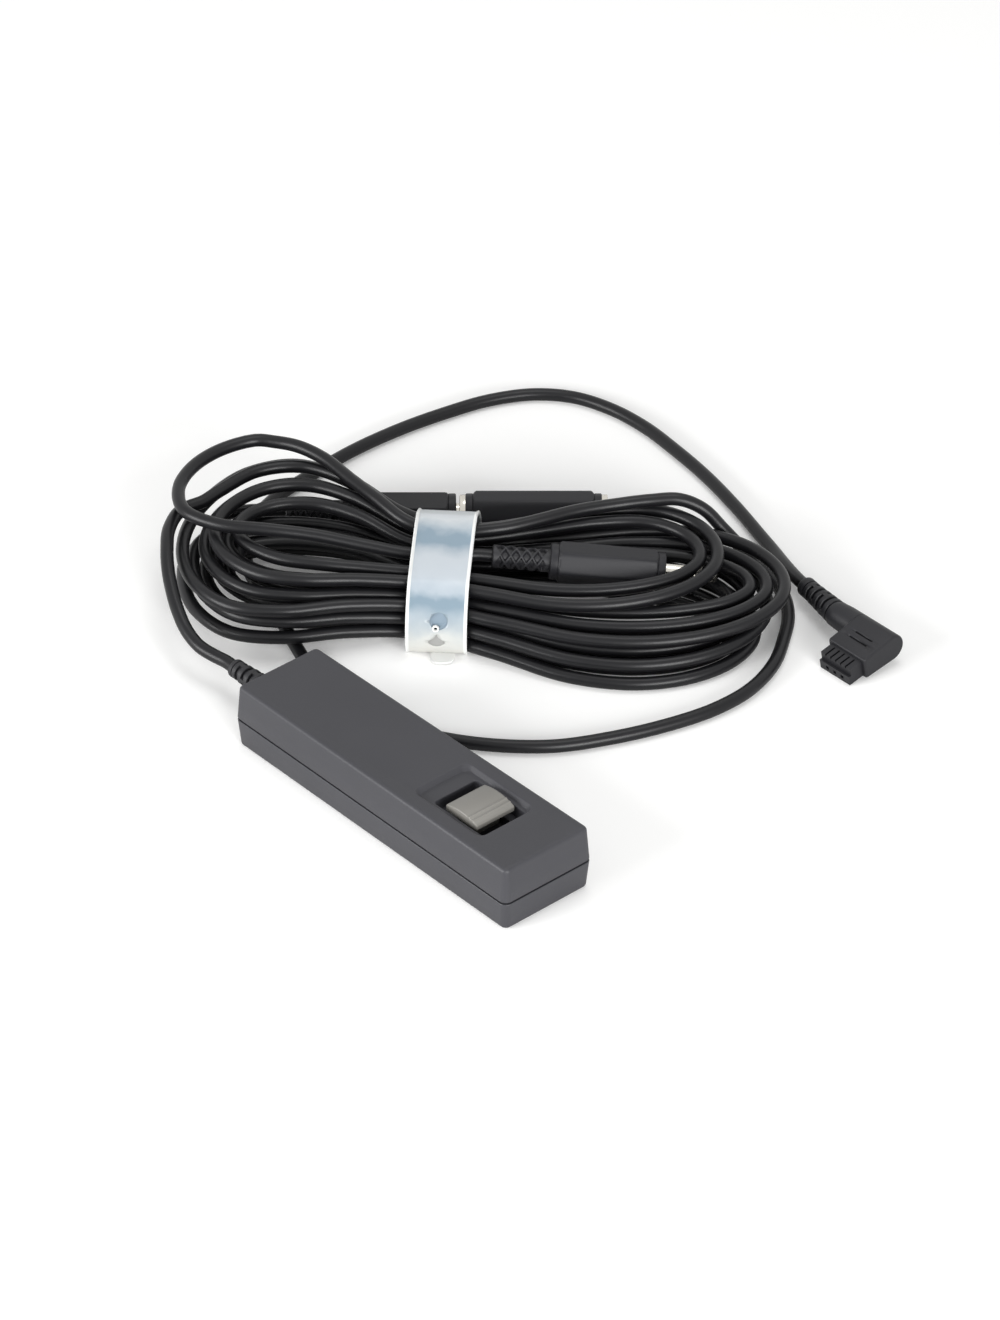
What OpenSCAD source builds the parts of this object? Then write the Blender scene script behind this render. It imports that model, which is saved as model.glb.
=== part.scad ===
// Wired remote shutter release with a long cord, laid out at rest.
// +X runs from the handset's cord end to its free end, +Z is up, and the
// origin is the middle of the handset's underside. Sizes are millimetres.

/* [Handset] */
// Length of the handset over its ends
handset_l = 100; // [92:1:120]
// Width of the handset half way along
handset_w = 27; // [25:0.5:36]
// How much wider the free end is than the cord end
handset_taper = 1.2; // [0:0.1:2.5]
// Height of the handset
handset_h = 17.4; // [17:0.2:22]
// Height of the parting line between the shells
parting_h = 8; // [7.4:0.1:9]
// Open line between the two shells
parting_gap = 0.3; // [0.1:0.05:0.5]
// Wall thickness of both shells
wall = 1.6; // [1.3:0.1:2]
// How far the upper sides lean in at the top
top_draft = 1; // [0:0.1:1.6]
// How far the lower sides lean in at the bottom
base_draft = 0.5; // [0:0.1:1]
// Radius along the top edges
top_edge_r = 1.8; // [1:0.1:2.4]
// Radius of the upright corners at the parting line
corner_r = 2.6; // [2.2:0.1:4]
// Bevel along the bottom edges
base_bevel = 0.7; // [0.3:0.1:1]
// Thickness of the tongue that locates the shells
tongue_t = 0.6; // [0.4:0.05:0.7]
// How far the tongue stands above the parting line
tongue_h = 1.2; // [0.8:0.1:1.6]

/* [Shell screws] */
// Distance of the front screw from the free end
front_screw_in = 8.5; // [7:0.5:10]
// Distance of the rear screws from the cord end
rear_screw_in = 14; // [12:0.5:20]
// Distance of the rear screws from the middle line
rear_screw_out = 8; // [7:0.5:8.5]
// Diameter of the screw's shank
screw_d = 2; // [1.6:0.1:2.2]
// Diameter of the screw's head
screw_head_d = 4.2; // [3.4:0.1:4.4]
// Thickness of the screw's head
screw_head_h = 1.3; // [0.9:0.1:1.5]
// Length of the screw's shank
screw_l = 10; // [8:0.5:11]
// Depth of the pocket that the head sits in
screw_pocket_h = 2.2; // [1.8:0.1:2.6]
// Diameter of the posts round the screws
post_d = 5.8; // [5.4:0.1:6.2]

/* [Switch recess] */
// Length of the recess in the top
recess_l = 23.4; // [22.8:0.2:25]
// Width of the recess in the top
recess_w = 16.4; // [15.6:0.2:18]
// Distance of the recess from the free end
recess_from_end = 15; // [14:0.5:18]
// Depth of the shallow step round the recess
step_h = 1.3; // [0.8:0.1:1.8]
// Slope of the step's sides, seen from above
step_slope = 0.7; // [0.3:0.1:1]
// Radius of the recess's corners
recess_r = 2; // [1:0.1:3]
// Length of the deep well under the button
well_l = 17.8; // [17.2:0.1:18.2]
// Width of the deep well under the button
well_w = 13.4; // [12.8:0.1:14]
// Distance of the well from the recess's free end
well_from_edge = 0.6; // [0.4:0.1:1]
// Depth of the well's floor below the top
well_depth = 4.2; // [3.8:0.1:4.6]
// Thickness of the well's floor
floor_t = 1.2; // [0.9:0.1:1.4]

/* [Button and lock] */
// Length of the button's cap along the handset
button_l = 11; // [9:0.5:11.5]
// Width of the button's cap across the handset
button_w = 12; // [10:0.5:12.4]
// Distance of the button from the recess's free end
button_from_edge = 3.9; // [3.8:0.1:4.4]
// Height of the crown above the handset's top
crown_rise = 0.6; // [0.2:0.1:1.2]
// Radius of the button's crown
crown_r = 15; // [12:0.5:30]
// Lean of the crown's highest point toward the cord end
crown_shift = 0.4; // [0:0.1:1]
// Radius of the cap's upright corners
button_corner_r = 0.8; // [0.4:0.1:1.2]
// Height of the two grip ridges
ridge_h = 0.2; // [0.1:0.05:0.3]
// Width of one grip ridge
ridge_w = 0.5; // [0.3:0.05:0.8]
// Distance between the two grip ridges
ridge_pitch = 1.3; // [1:0.1:1.8]
// Distance of the first ridge from the cap's free edge
ridge_in = 1.5; // [1.2:0.1:2]
// Travel of the button when it is pressed home
press_travel = 1.8; // [1:0.1:1.9]
// Travel of the button and its slider into the lock
lock_travel = 3; // [2:0.1:3.2]
// Length of the button's stem
stem_l = 5; // [4:0.2:6]
// Width of the button's stem
stem_w = 8; // [6:0.2:9]
// How far the stem's foot stands out on each side
foot_out = 0.7; // [0.5:0.1:0.9]
// Thickness of the stem's foot
foot_t = 1.1; // [0.8:0.1:1.2]
// Length of the lock slider
slider_l = 16; // [14:0.5:18]
// Width of the lock slider
slider_w = 18; // [15:0.5:18.6]
// Thickness of the lock slider
slider_t = 1.3; // [1:0.1:1.4]
// Thickness of the rails beside and under the slider
rail_t = 1; // [0.8:0.1:1.2]
// How far the rails reach in under the slider
rail_lip = 1; // [0.8:0.1:1.4]
// Running clearance round the moving pieces
play = 0.3; // [0.2:0.05:0.35]

/* [Contacts] */
// Width of the contact leaves
leaf_w = 5; // [3:0.2:6]
// Thickness of the contact leaves
leaf_t = 0.25; // [0.15:0.05:0.3]
// Gap between the common leaf and the half press leaf
half_gap = 0.8; // [0.6:0.1:0.9]
// Gap between the half press leaf and the full press leaf
full_gap = 0.9; // [0.7:0.1:1]
// Length of the contact block
block_l = 11; // [9:0.5:14]
// Width of the contact block
block_w = 9; // [7:0.5:12]
// Height of the block below the lowest leaf
block_h = 1.8; // [1.4:0.1:2]
// Thickness of the insulators between the leaves
insulator_t = 0.5; // [0.4:0.05:0.6]
// Distance from the block's front to the middle of the button
block_to_button = 20.5; // [19:0.5:24]
// Diameter of the rivets through the block
rivet_d = 1.5; // [1.2:0.1:1.8]
// Distance between the two rivets
rivet_pitch = 5.5; // [4:0.5:7]
// Diameter of the contact studs on the leaves
stud_d = 1.8; // [1.2:0.1:2.4]
// Diameter of one inner wire
wire_d = 1; // [0.7:0.1:1.1]
// Sideways distance between the wires at the block
wire_spread = 2; // [1.6:0.1:2.4]
// Length of cord sheath inside the handset
sheath_l = 6; // [4:0.5:8]

/* [Cord] */
// Diameter of the cord
cord_d = 3.4; // [3:0.05:3.5]
// Length of the handset's bend relief outside the shell
relief_l = 16; // [15:0.5:17]
// Diameter of the bend relief at the shell
relief_d = 6.6; // [6:0.1:8]
// Diameter of the bend relief at its cord end
relief_end_d = 4.8; // [4.4:0.1:6]
// Number of cut ribs along a bend relief
relief_ribs = 6; // [4:1:8]
// Diameter of the relief's neck in the shell
relief_neck_d = 5; // [4.4:0.1:5.6]
// Diameter of the relief's inner flange
relief_flange_d = 8; // [7:0.1:9]
// Thickness of the relief's inner flange
relief_flange_t = 1.4; // [1:0.1:2]

/* [Hank] */
// Position of the hank's waist along the handset
hank_x = -59.5; // [-61:0.1:-58]
// Position of the hank's waist beside the handset
hank_y = 62.5; // [61:0.1:64]
// Turn of the hank's long axis
hank_turn = 38.5; // [37:0.5:40]
// Height between two layers of cord
layer_h = 4; // [3.9:0.05:4.1]
// Sideways step from one loop to the next at the waist
loop_step = 4.3; // [4:0.05:4.5]
// Half of the space left in the middle of the waist, front side
waist_front = 4.4; // [4:0.1:5]
// Half of the space left in the middle of the waist, back side
waist_back = 5.6; // [5.2:0.1:6]
// Reach of the innermost loop on the left
left_reach = 51.5; // [51:0.1:52]
// Growth of the reach per loop on the left
left_step = 5.5; // [5.2:0.1:5.8]
// Reach of the innermost loop on the right
right_reach = 69.4; // [69:0.2:71]
// Growth of the reach per loop on the right
right_step = 4.3; // [4.2:0.05:4.5]
// Clearance under the lowest cords at the waist
waist_lift = 1.2; // [1.2:0.05:1.6]
// Clearance under the lowest cords in the left lobe
left_lift = 4.1; // [4:0.1:4.6]

/* [Strap] */
// Turn of the strap, which sits a little askew on the hank
strap_turn = 48.5; // [46:0.5:50]
// Clearance between the strap and the cords
strap_clear = 0.3; // [0.25:0.05:0.5]
// Farthest that a cord in the strap lies from its middle
strap_reach = 26; // [24:1:30]
// Width of the strap along the hank
strap_w = 15.4; // [12:0.2:16]
// Thickness of the strap
strap_t = 0.6; // [0.4:0.05:0.8]
// Height of the beads along the strap's edges
bead_h = 0.35; // [0.2:0.05:0.5]
// Width of one bead
bead_w = 1.2; // [0.8:0.1:1.6]
// Length of the strap's oval hole
strap_hole_l = 4.4; // [3:0.1:5]
// Height of the strap's oval hole
strap_hole_h = 2.6; // [2:0.1:3]
// Width of the tab at the strap's foot
tab_w = 4; // [3:0.1:5]
// Length of the tab at the strap's foot
tab_l = 3.2; // [2:0.1:4]

/* [Jack plugs] */
// Distance across the flats of a plug's hexagonal body
hex_af = 9.3; // [8.6:0.1:9.6]
// Diameter of the round collars at the body's ends
collar_d = 9.2; // [8:0.1:9.4]
// Length of one collar
collar_l = 1.9; // [1.4:0.1:2.4]
// Length of a plug's hexagonal part
plug_hex_l = 25.2; // [20:0.2:25.6]
// Length of a plug's bend relief
plug_relief_l = 14.6; // [13:0.2:15]
// Diameter of a plug's bend relief
plug_relief_d = 5.8; // [5:0.1:6.2]
// Number of lattice rings in a plug's bend relief
lattice_count = 5; // [4:1:6]
// Diameter of a plug's sleeve contact
sleeve_d = 4.2; // [3.8:0.05:4.4]
// Length of a plug's sleeve contact
sleeve_l = 5.8; // [5:0.1:6.2]
// Width of the black insulating rings
insulating_l = 0.6; // [0.4:0.05:0.8]
// Diameter of a plug's ring contact
ring_d = 3.6; // [3.2:0.05:3.8]
// Length of a plug's ring contact
ring_l = 2.4; // [2:0.1:2.6]
// Diameter of a plug's rounded tip
tip_d = 3.8; // [3.4:0.05:4]
// Length of a plug's tip
tip_l = 4.2; // [3.6:0.1:4.4]
// Diameter of the rod that joins a plug's tip to its body
rod_d = 1.4; // [1:0.1:1.6]
// Diameter of the bore of a plug's sleeve and ring
liner_d = 2.8; // [2.4:0.1:3]

/* [Coupler] */
// Length of the coupler over its flanges
coupler_l = 38; // [36:0.5:42]
// Diameter of the coupler's sockets
socket_d = 4.5; // [4.4:0.05:4.6]
// Depth of one socket
socket_depth = 15.6; // [15:0.1:16.4]
// Diameter of the bright flange at a socket's mouth
flange_d = 8.6; // [7:0.1:9]
// Thickness of the flange at a socket's mouth
flange_t = 1.5; // [1:0.1:1.8]
// Open gap between the seated plug and the coupler
seat_gap = 0.9; // [0.5:0.1:1.4]
// Roll of the seated plug about its own axis
plug_roll = 20; // [0:1:30]
// Width of one contact clip in a socket
clip_w = 1.2; // [0.8:0.1:1.4]
// Thickness of one contact clip in a socket
clip_t = 0.5; // [0.3:0.05:0.6]

/* [Camera plug] */
// Length of the moulded bend relief on the camera plug
cam_relief_l = 16; // [14:0.5:17]
// Diameter of the camera plug's relief at the cord
cam_relief_end_d = 5.2; // [4.6:0.1:5.4]
// Diameter of the camera plug's barrel
barrel_d = 7.2; // [6.6:0.1:7.4]
// Length of the camera plug's barrel
barrel_l = 20; // [18:0.5:21]
// Width of the camera plug's block along the barrel
block_x = 12.4; // [11:0.2:13]
// Reach of the block from the barrel's axis
block_y = 9.8; // [9:0.2:10]
// Thickness of the block
block_z = 6.2; // [5.6:0.1:6.4]
// Length of the keyed nose that enters the camera
nose_l = 4.6; // [4.2:0.1:4.7]
// Width of the keyed nose
nose_w = 10.4; // [9.6:0.1:10.8]
// Thickness of the keyed nose
nose_h = 4.8; // [4.4:0.1:5]
// Length of nose that is held inside the block
nose_root = 3; // [2:0.1:4]
// Distance between two contact holes
contact_pitch = 2.6; // [2.4:0.1:2.8]
// Side of one square contact hole
contact_hole = 1; // [0.8:0.05:1.2]
// Depth of one contact hole
contact_depth = 4.6; // [4:0.1:5]
// Number of key ribs on top of the nose
key_ribs = 6; // [4:1:7]

/* [Hidden] */

// Colours, as they look under plain light
shell_color = "#4a4a4e";
dark_color = "#2c2c30";
cord_color = "#303034";
button_color = "#7f7d79";
bronze_color = "#b08a4a";
nickel_color = "#c9c9c4";
strap_color = "#cfd6de";
insulator_color = "#8a5a34";

eps = 0.01;
fine = 64;
soft = 32;
snug = 0.05;

// Levels and places in the handset
shell_low = parting_h - parting_gap / 2;
shell_high = parting_h + parting_gap / 2;
end_x = handset_l / 2;
roof_z = handset_h - wall;
recess_end = end_x - recess_from_end;
recess_mid = recess_end - recess_l / 2;
well_mid = recess_end - well_from_edge - well_l / 2;
well_z = handset_h - well_depth;
floor_z = well_z - floor_t;
step_z = handset_h - step_h;
button_x = recess_end - button_from_edge - button_l / 2;
slider_top = floor_z - play;
slider_low = slider_top - slider_t;
lip_top = slider_low - play;
foot_top = slider_low - play;
foot_z = foot_top - foot_t;
cap_low = well_z + press_travel + play;
crown_z = handset_h + crown_rise;
front_screw_x = end_x - front_screw_in;
rear_screw_x = rear_screw_in - end_x;
screw_places = [[front_screw_x, 0], [rear_screw_x, rear_screw_out], [rear_screw_x, -rear_screw_out]];

// Levels and places of the contacts
common_z = foot_z - play - leaf_t;
half_z = common_z - half_gap - leaf_t;
full_z = half_z - full_gap - leaf_t;
block_front = button_x - block_to_button;
block_back = block_front - block_l;
full_root = wall + block_h;
half_root = full_root + leaf_t + insulator_t;
common_root = half_root + leaf_t + insulator_t;
stack_top = common_root + leaf_t + insulator_t;
leaf_tip = button_x + lock_travel + stem_l / 2;
rivet_x = [block_front - (block_l - rivet_pitch) / 2, block_back + (block_l - rivet_pitch) / 2];
tail_l = 3;
leaf_bend = 9;
wire_gap = 0.3;
wire_pitch = 1.15;

// Cord, plugs and coupler
cord_r = cord_d / 2;
rest_z = cord_r + 0.05;
relief_x = -end_x - relief_l;
flange_lean = max(top_draft / (roof_z - shell_high), base_draft / (shell_low - wall)) * relief_flange_d / 2;
flange_x = -end_x + wall + flange_lean + 2 * snug;
sheath_x = flange_x + relief_flange_t;
plug_body_x = plug_relief_l;
plug_hex_x = plug_body_x + collar_l;
plug_front_x = plug_hex_x + plug_hex_l;
shaft_x = plug_front_x + collar_l;
hex_r = hex_af / sqrt(3);
coupled_z = max(hex_r, flange_d / 2) + 0.05;
seated_at = [-113.5, 56, coupled_z];
coupled_turn = 48.5;
coupler_x = shaft_x + seat_gap;
free_at = [-52.5, 72.6, 15.3];
free_turn = 48.2;
free_dip = 6;
camera_at = [-1.8, 133.3, 4.6];
camera_turn = -13;
camera_rise = 3;
camera_roll = 11;
barrel_at = camera_at + cam_relief_l * plug_axis(camera_turn, -camera_rise);

// Hand-laid routes of the cord's free stretches
HANDSET_ROUTE = [[-116.8, 24.5, 18], [-112.3, 17, 18], [-106.7, 11.8, 17.3], [-101.3, 7.7, 15.8],
  [-95.4, 4.2, 13.7], [-89.6, 1.4, 11.7], [-84.2, -0.4, 9.8], [-78.4, -1.2, 8.5], [-73.4, -0.6, 8]];
PLUG_ROUTE = [[-119.4, 49, 5.8], [-121.8, 42, 6]];
CAMERA_ROUTE = [[-60, 63, 15.7], [-66.5, 56.5, 16.2], [-74.5, 49, 18], [-83.5, 40, 20.5], [-92, 31, 22],
  [-101, 24, 22], [-111, 21.5, 22], [-120, 26.5, 22], [-125.5, 35.5, 22], [-127, 46, 22],
  [-124.5, 55.5, 22], [-120.7, 58.7, 22], [-114.9, 61.6, 22.2], [-106.4, 63.1, 22], [-95.4, 62.7, 21.3],
  [-84.3, 62, 21.1], [-74.7, 62.4, 19.6], [-69, 65.4, 18.2], [-65.9, 68.2, 17.9],
  [-62.7, 71.3, 17.9], [-58.5, 76.3, 18.4], [-55.7, 81.3, 18.5], [-53.1, 89.3, 18.4], [-50.7, 99.1, 17.9],
  [-46.7, 109.1, 17.4], [-41.8, 116.7, 17.8], [-37, 122.4, 18], [-32.7, 126.8, 15.2],
  [-28.7, 130.2, 9.5], [-23.9, 132.4, 5], [-17.9, 133.2, 2.3], [-10.8, 131.6, rest_z],
  [-3, 127.8, rest_z], [2.9, 122.9, rest_z], [7.9, 116.8, rest_z],
  [14.6, 106.8, rest_z], [18.6, 95, rest_z], [18.9, 82.5, rest_z], [15.8, 68.5, rest_z], [10.6, 54.7, rest_z],
  [4, 42.5, rest_z], [-7, 31, rest_z], [-19, 23, rest_z], [-31, 18.6, rest_z], [-43, 17.2, rest_z],
  [-55, 17.6, rest_z], [-68, 22, rest_z], [-82, 27.5, rest_z], [-96, 32, rest_z], [-108, 38, rest_z],
  [-118, 47.5, rest_z], [-124, 60, rest_z], [-126.5, 75, rest_z], [-128, 91, rest_z],
  [-127.5, 107, rest_z], [-125.5, 121, rest_z], [-122.5, 133.5, rest_z], [-117, 144, rest_z],
  [-109, 151, rest_z], [-98.5, 154.6, rest_z], [-86, 155.5, rest_z], [-72, 154, rest_z],
  [-57.5, 151.5, rest_z], [-42, 147.5, rest_z], [-29, 143.4, rest_z], [-20.5, 140.4, 2.2],
  [-12.8, 137, 3.4]];

// The hank: loops counted by t, each a long figure drawn in at the waist.
// Loops spiral in and out between the outermost and the innermost place, and
// climb a layer on a back run each time they reach one of the two.
loops_in = 3;
hank_from = 0.2;
hank_to = 11.2;
rings_per_loop = 24;
climb_late = -0.025;
climb_half = 0.11;
lobe_swell = 1.45;
left_flare = 2;
right_front_flare = 1.3;
right_back_flare = 1.7;

function clip(v) = min(max(v, 0), 1);
function ease(v) = clip(v) * clip(v) * (3 - 2 * clip(v));
function place_in_spiral(t) = abs(loops_in - (t - 2 * loops_in * floor(t / (2 * loops_in))));
function climb(t, k) = ease((t - (k * loops_in + climb_late - climb_half)) / (2 * climb_half));
function layer(t) = climb(t, 1) + climb(t, 2) + climb(t, 3);
function run_along(t) = -sin(360 * t);
function run_side(t) = cos(360 * t);

// Reach along the hank of the loop at t, longer on the third layer on the
// right and shorter on the topmost
third_layer_more = 6;
top_layer_less = 15.6;
function right_more(n) = third_layer_more * clip(n - 1) - top_layer_less * clip(n - 2);
function reach(t) = run_along(t) < 0
  ? left_reach + left_step * place_in_spiral(t)
  : right_reach + right_step * place_in_spiral(t) + right_more(layer(t));

// Half width of the lobe at t: left front, left back by layer, right
// as the innermost loop's and its growth per loop
LEFT_FRONT = [11, 8.5];
LEFT_BACK_LOW = [7, 4.3];
LEFT_BACK_TOP = [13.8, 9.2];
RIGHT_HALF = [12.5, 6];
function grown(size, s) = size[0] + size[1] * s;
function left_front(s) = grown(LEFT_FRONT, s);
function left_back(s, top) = grown(LEFT_BACK_LOW, s) * (1 - top) + grown(LEFT_BACK_TOP, s) * top;
function right_half(s) = grown(RIGHT_HALF, s);
function lobe(t) = run_along(t) >= 0 ? right_half(place_in_spiral(t))
  : run_side(t) > 0 ? left_back(place_in_spiral(t), clip(layer(t) - 1))
  : left_front(place_in_spiral(t));
function waist(t) = (run_side(t) > 0 ? waist_back : waist_front) + loop_step * place_in_spiral(t);
function flare(t) = run_along(t) < 0 ? left_flare : run_side(t) > 0 ? right_back_flare : right_front_flare;
function spread(t) = pow(sin(90 * abs(run_along(t))), flare(t));
// Sideways lean of the lobes: fixed on the left, per layer on the right
left_lean = 2;
right_lean = 4.5;
function lean(t) = run_along(t) < 0 ? left_lean : right_lean * layer(t);
function along(t) = reach(t) * run_along(t);
function across(t) = run_side(t) * (waist(t) + (lobe_swell * lobe(t) - waist(t)) * spread(t))
  + lean(t) * spread(t);
// Clearance under the loops: it rises to the left over rise_l, and falls to
// the table on the right over fall_l, past the flat stretch in the strap
flat_l = 6;
rise_l = 22;
fall_l = 30;
function lift(t) = run_along(t) < 0
  ? waist_lift + (left_lift - waist_lift) * ease((-along(t) - flat_l) / rise_l)
  : waist_lift * (1 - ease((along(t) - flat_l) / fall_l));
function hank_point(t) = in_hank([along(t), across(t), rest_z + layer_h * layer(t) + lift(t)]);
function in_hank(p) = [
  hank_x + p[0] * cos(hank_turn) - p[1] * sin(hank_turn),
  hank_y + p[0] * sin(hank_turn) + p[1] * cos(hank_turn),
  p[2]];

function unit(v) = v / norm(v);
function step_on(p, q, d) = p + unit(p - q) * d;
HANK_RUN = concat([hank_point(hank_from)],
  [for (i = [0 : hank_to * rings_per_loop])
    let (t = (i + 0.5) / rings_per_loop)
    if (min(t - hank_from, hank_to - t) > 0.5 / rings_per_loop) hank_point(t)],
  [hank_point(hank_to)]);
hank_last = len(HANK_RUN) - 1;
hank_start = step_on(HANK_RUN[0], HANK_RUN[1], cord_d);
hank_end = step_on(HANK_RUN[hank_last], HANK_RUN[hank_last - 1], cord_d);
HANK_ROUTE = concat([hank_start], HANK_RUN, [hank_end]);

// Axis of a plug that is turned about Z and dipped at its far end
function plug_axis(turn, dip) = [cos(dip) * cos(turn), cos(dip) * sin(turn), -sin(dip)];
relief_end = [relief_x, 0, parting_h];
HANDSET_LEAD = concat([hank_end, step_on(hank_end, HANK_RUN[hank_last], cord_d)], HANDSET_ROUTE,
  [relief_end - [cord_d, 0, 0], relief_end]);
PLUG_LEAD = concat([seated_at, seated_at - cord_d * plug_axis(coupled_turn, 0)], PLUG_ROUTE,
  [step_on(hank_start, HANK_RUN[0], cord_d), hank_start]);
CAMERA_LEAD = concat([free_at, free_at - cord_d * plug_axis(free_turn, free_dip)], CAMERA_ROUTE,
  [camera_at - cord_d * plug_axis(camera_turn, -camera_rise), camera_at]);

function length_of(p) = len(p) < 2 ? 0
  : [for (i = 0, s = 0; i < len(p); i = i + 1, s = s + (i < len(p) ? norm(p[i] - p[i - 1]) : 0))
      s][len(p) - 1];

// Least gap of the hank to itself, measured between points half a loop or more apart
function near_gap(p, apart) = min([for (i = [0 : len(p) - 1 - apart])
  min([for (j = [i + apart : len(p) - 1]) norm(p[i] - p[j])])]) - cord_d;
union() {
  echo(hank_length = length_of(HANK_ROUTE), camera_lead = length_of(CAMERA_LEAD));
  echo(handset_lead = length_of(HANDSET_LEAD), plug_lead = length_of(PLUG_LEAD));
  echo(least_gap_in_hank = near_gap(HANK_ROUTE, rings_per_loop / 4));
}

// A round tube swept along points, with a ring square to the route at each one
module cord_tube(route, sides) {
  last = len(route) - 1;
  rings = [for (i = [0 : last])
    let (way = unit(route[min(i + 1, last)] - route[max(i - 1, 0)]),
         out = unit(cross(way, [0, 0, 1])),
         up = cross(out, way))
    for (k = [0 : sides - 1])
      route[i] + cord_r * (cos(360 * k / sides) * out + sin(360 * k / sides) * up)];
  walls = [for (i = [0 : last - 1], k = [0 : sides - 1], half = [0, 1])
    let (a = i * sides + k, b = i * sides + (k + 1) % sides)
    half == 0 ? [a, b, b + sides] : [a, b + sides, a + sides]];
  first_cap = [for (k = [1 : sides - 2]) [0, k + 1, k]];
  last_cap = [for (k = [1 : sides - 2]) [last * sides, last * sides + k, last * sides + k + 1]];
  polyhedron(rings, concat(walls, first_cap, last_cap));
}

module round_rect(l, w, r) {
  square([l - 2 * r, w], center = true);
  square([l, w - 2 * r], center = true);
  for (x = [-1, 1], y = [-1, 1]) {
    translate([x * (l / 2 - r), y * (w / 2 - r)])
      circle(r, $fn = fine);
  }
}

// One child at each upright corner of the handset's plan
module at_corners(inset, r) {
  for (e = [-1, 1], s = [-1, 1]) {
    translate([e * (end_x - inset - r), s * ((handset_w + e * handset_taper / 2) / 2 - inset - r), 0])
      children();
  }
}

module plan_prism(inset, r, low, high) {
  hull() {
    at_corners(inset, r)
      translate([0, 0, low])
        cylinder(h = high - low, r = r, $fn = soft);
  }
}

module upper_form() {
  hull() {
    at_corners(0, corner_r)
      translate([0, 0, shell_high])
        cylinder(h = eps, r = corner_r, $fn = soft);
    at_corners(top_draft, top_edge_r)
      translate([0, 0, handset_h - top_edge_r])
        sphere(top_edge_r, $fn = soft);
  }
}

module upper_hollow() {
  r = corner_r - wall;
  hull() {
    at_corners(wall, r)
      translate([0, 0, shell_high - 1])
        cylinder(h = 1, r = r, $fn = soft);
    at_corners(wall + top_draft, r)
      translate([0, 0, roof_z - eps])
        cylinder(h = eps, r = r, $fn = soft);
  }
}

module recess_wall() {
  translate([recess_mid, 0, step_z - floor_t])
    linear_extrude(step_h)
      round_rect(recess_l + 2 * floor_t, recess_w + 2 * floor_t, recess_r);
  translate([well_mid, 0, floor_z])
    linear_extrude(well_depth)
      round_rect(well_l + 2 * floor_t, well_w + 2 * floor_t, recess_r);
}

module recess_space() {
  hull() {
    translate([recess_mid, 0, handset_h])
      linear_extrude(1)
        round_rect(recess_l + step_slope, recess_w + step_slope, recess_r);
    translate([recess_mid, 0, step_z])
      linear_extrude(eps)
        round_rect(recess_l - step_slope, recess_w - step_slope, recess_r);
  }
  translate([well_mid, 0, well_z])
    linear_extrude(well_depth)
      round_rect(well_l, well_w, 1);
}

module stem_slot() {
  translate([button_x - stem_l / 2 - play, -stem_w / 2 - play, floor_z - 1])
    cube([stem_l + lock_travel + 2 * play, stem_w + 2 * play, floor_t + 2]);
}

// Two angle rails that carry the lock slider under the well's floor
module slider_rails() {
  rail_h = floor_z - lip_top + rail_t;
  rail_l = slider_l + lock_travel;
  for (side = [-1, 1]) {
    translate([button_x - slider_l / 2, side * (slider_w / 2 + play + rail_t / 2) - rail_t / 2,
      lip_top - rail_t])
      cube([rail_l, rail_t, rail_h + eps]);
    translate([button_x - slider_l / 2, side * (slider_w / 2 + play - rail_lip / 2) - (rail_lip + eps) / 2,
      lip_top - rail_t])
      cube([rail_l, rail_lip + eps, rail_t]);
  }
  translate([button_x - slider_l / 2, -slider_w / 2 - play - rail_t, floor_z])
    cube([rail_l, slider_w + 2 * play + 2 * rail_t, floor_t]);
}

module screw_posts(low, high) {
  for (p = screw_places) {
    translate([p[0], p[1], low])
      cylinder(h = high - low, d = post_d, $fn = fine);
  }
}

module relief_hole() {
  translate([-end_x - 1, 0, parting_h])
    rotate([0, 90, 0])
      cylinder(h = wall + 3, d = relief_neck_d + 2 * snug, $fn = fine);
}

module upper_shell() {
  color(shell_color)
  difference() {
    upper_form();
    difference() {
      upper_hollow();
      recess_wall();
      slider_rails();
      screw_posts(shell_high, handset_h);
    }
    plan_prism(wall - tongue_t - snug, corner_r - wall + tongue_t, shell_high - 1, shell_high + tongue_h);
    recess_space();
    stem_slot();
    for (p = screw_places) {
      translate([p[0], p[1], shell_high - 1])
        cylinder(h = screw_pocket_h + screw_l + 1 - parting_h + 1, d = screw_d + 2 * snug, $fn = fine);
    }
    relief_hole();
  }
}

module lower_form() {
  hull() {
    at_corners(0, corner_r)
      translate([0, 0, shell_low - eps])
        cylinder(h = eps, r = corner_r, $fn = soft);
    at_corners(base_draft, corner_r)
      translate([0, 0, base_bevel])
        cylinder(h = eps, r = corner_r, $fn = soft);
    at_corners(base_draft + base_bevel, corner_r - base_bevel)
      cylinder(h = eps, r = corner_r - base_bevel, $fn = soft);
  }
}

module lower_hollow() {
  r = corner_r - wall;
  hull() {
    at_corners(wall, r)
      translate([0, 0, shell_low])
        cylinder(h = 1, r = r, $fn = soft);
    at_corners(wall + base_draft, r)
      translate([0, 0, wall])
        cylinder(h = eps, r = r, $fn = soft);
  }
}

module tongue() {
  difference() {
    plan_prism(wall - tongue_t + snug, corner_r - wall + tongue_t - snug, shell_low - 2,
      shell_high + tongue_h - 0.2);
    plan_prism(wall, corner_r - wall, shell_low - 3, shell_high + tongue_h);
  }
}

// Low walls that hold the contact block from sliding
module block_fence() {
  for (x = [block_back - rail_t - snug, block_front + snug]) {
    translate([x, -block_w / 4, wall - eps])
      cube([rail_t, block_w / 2, block_h - 0.3]);
  }
}

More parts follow.
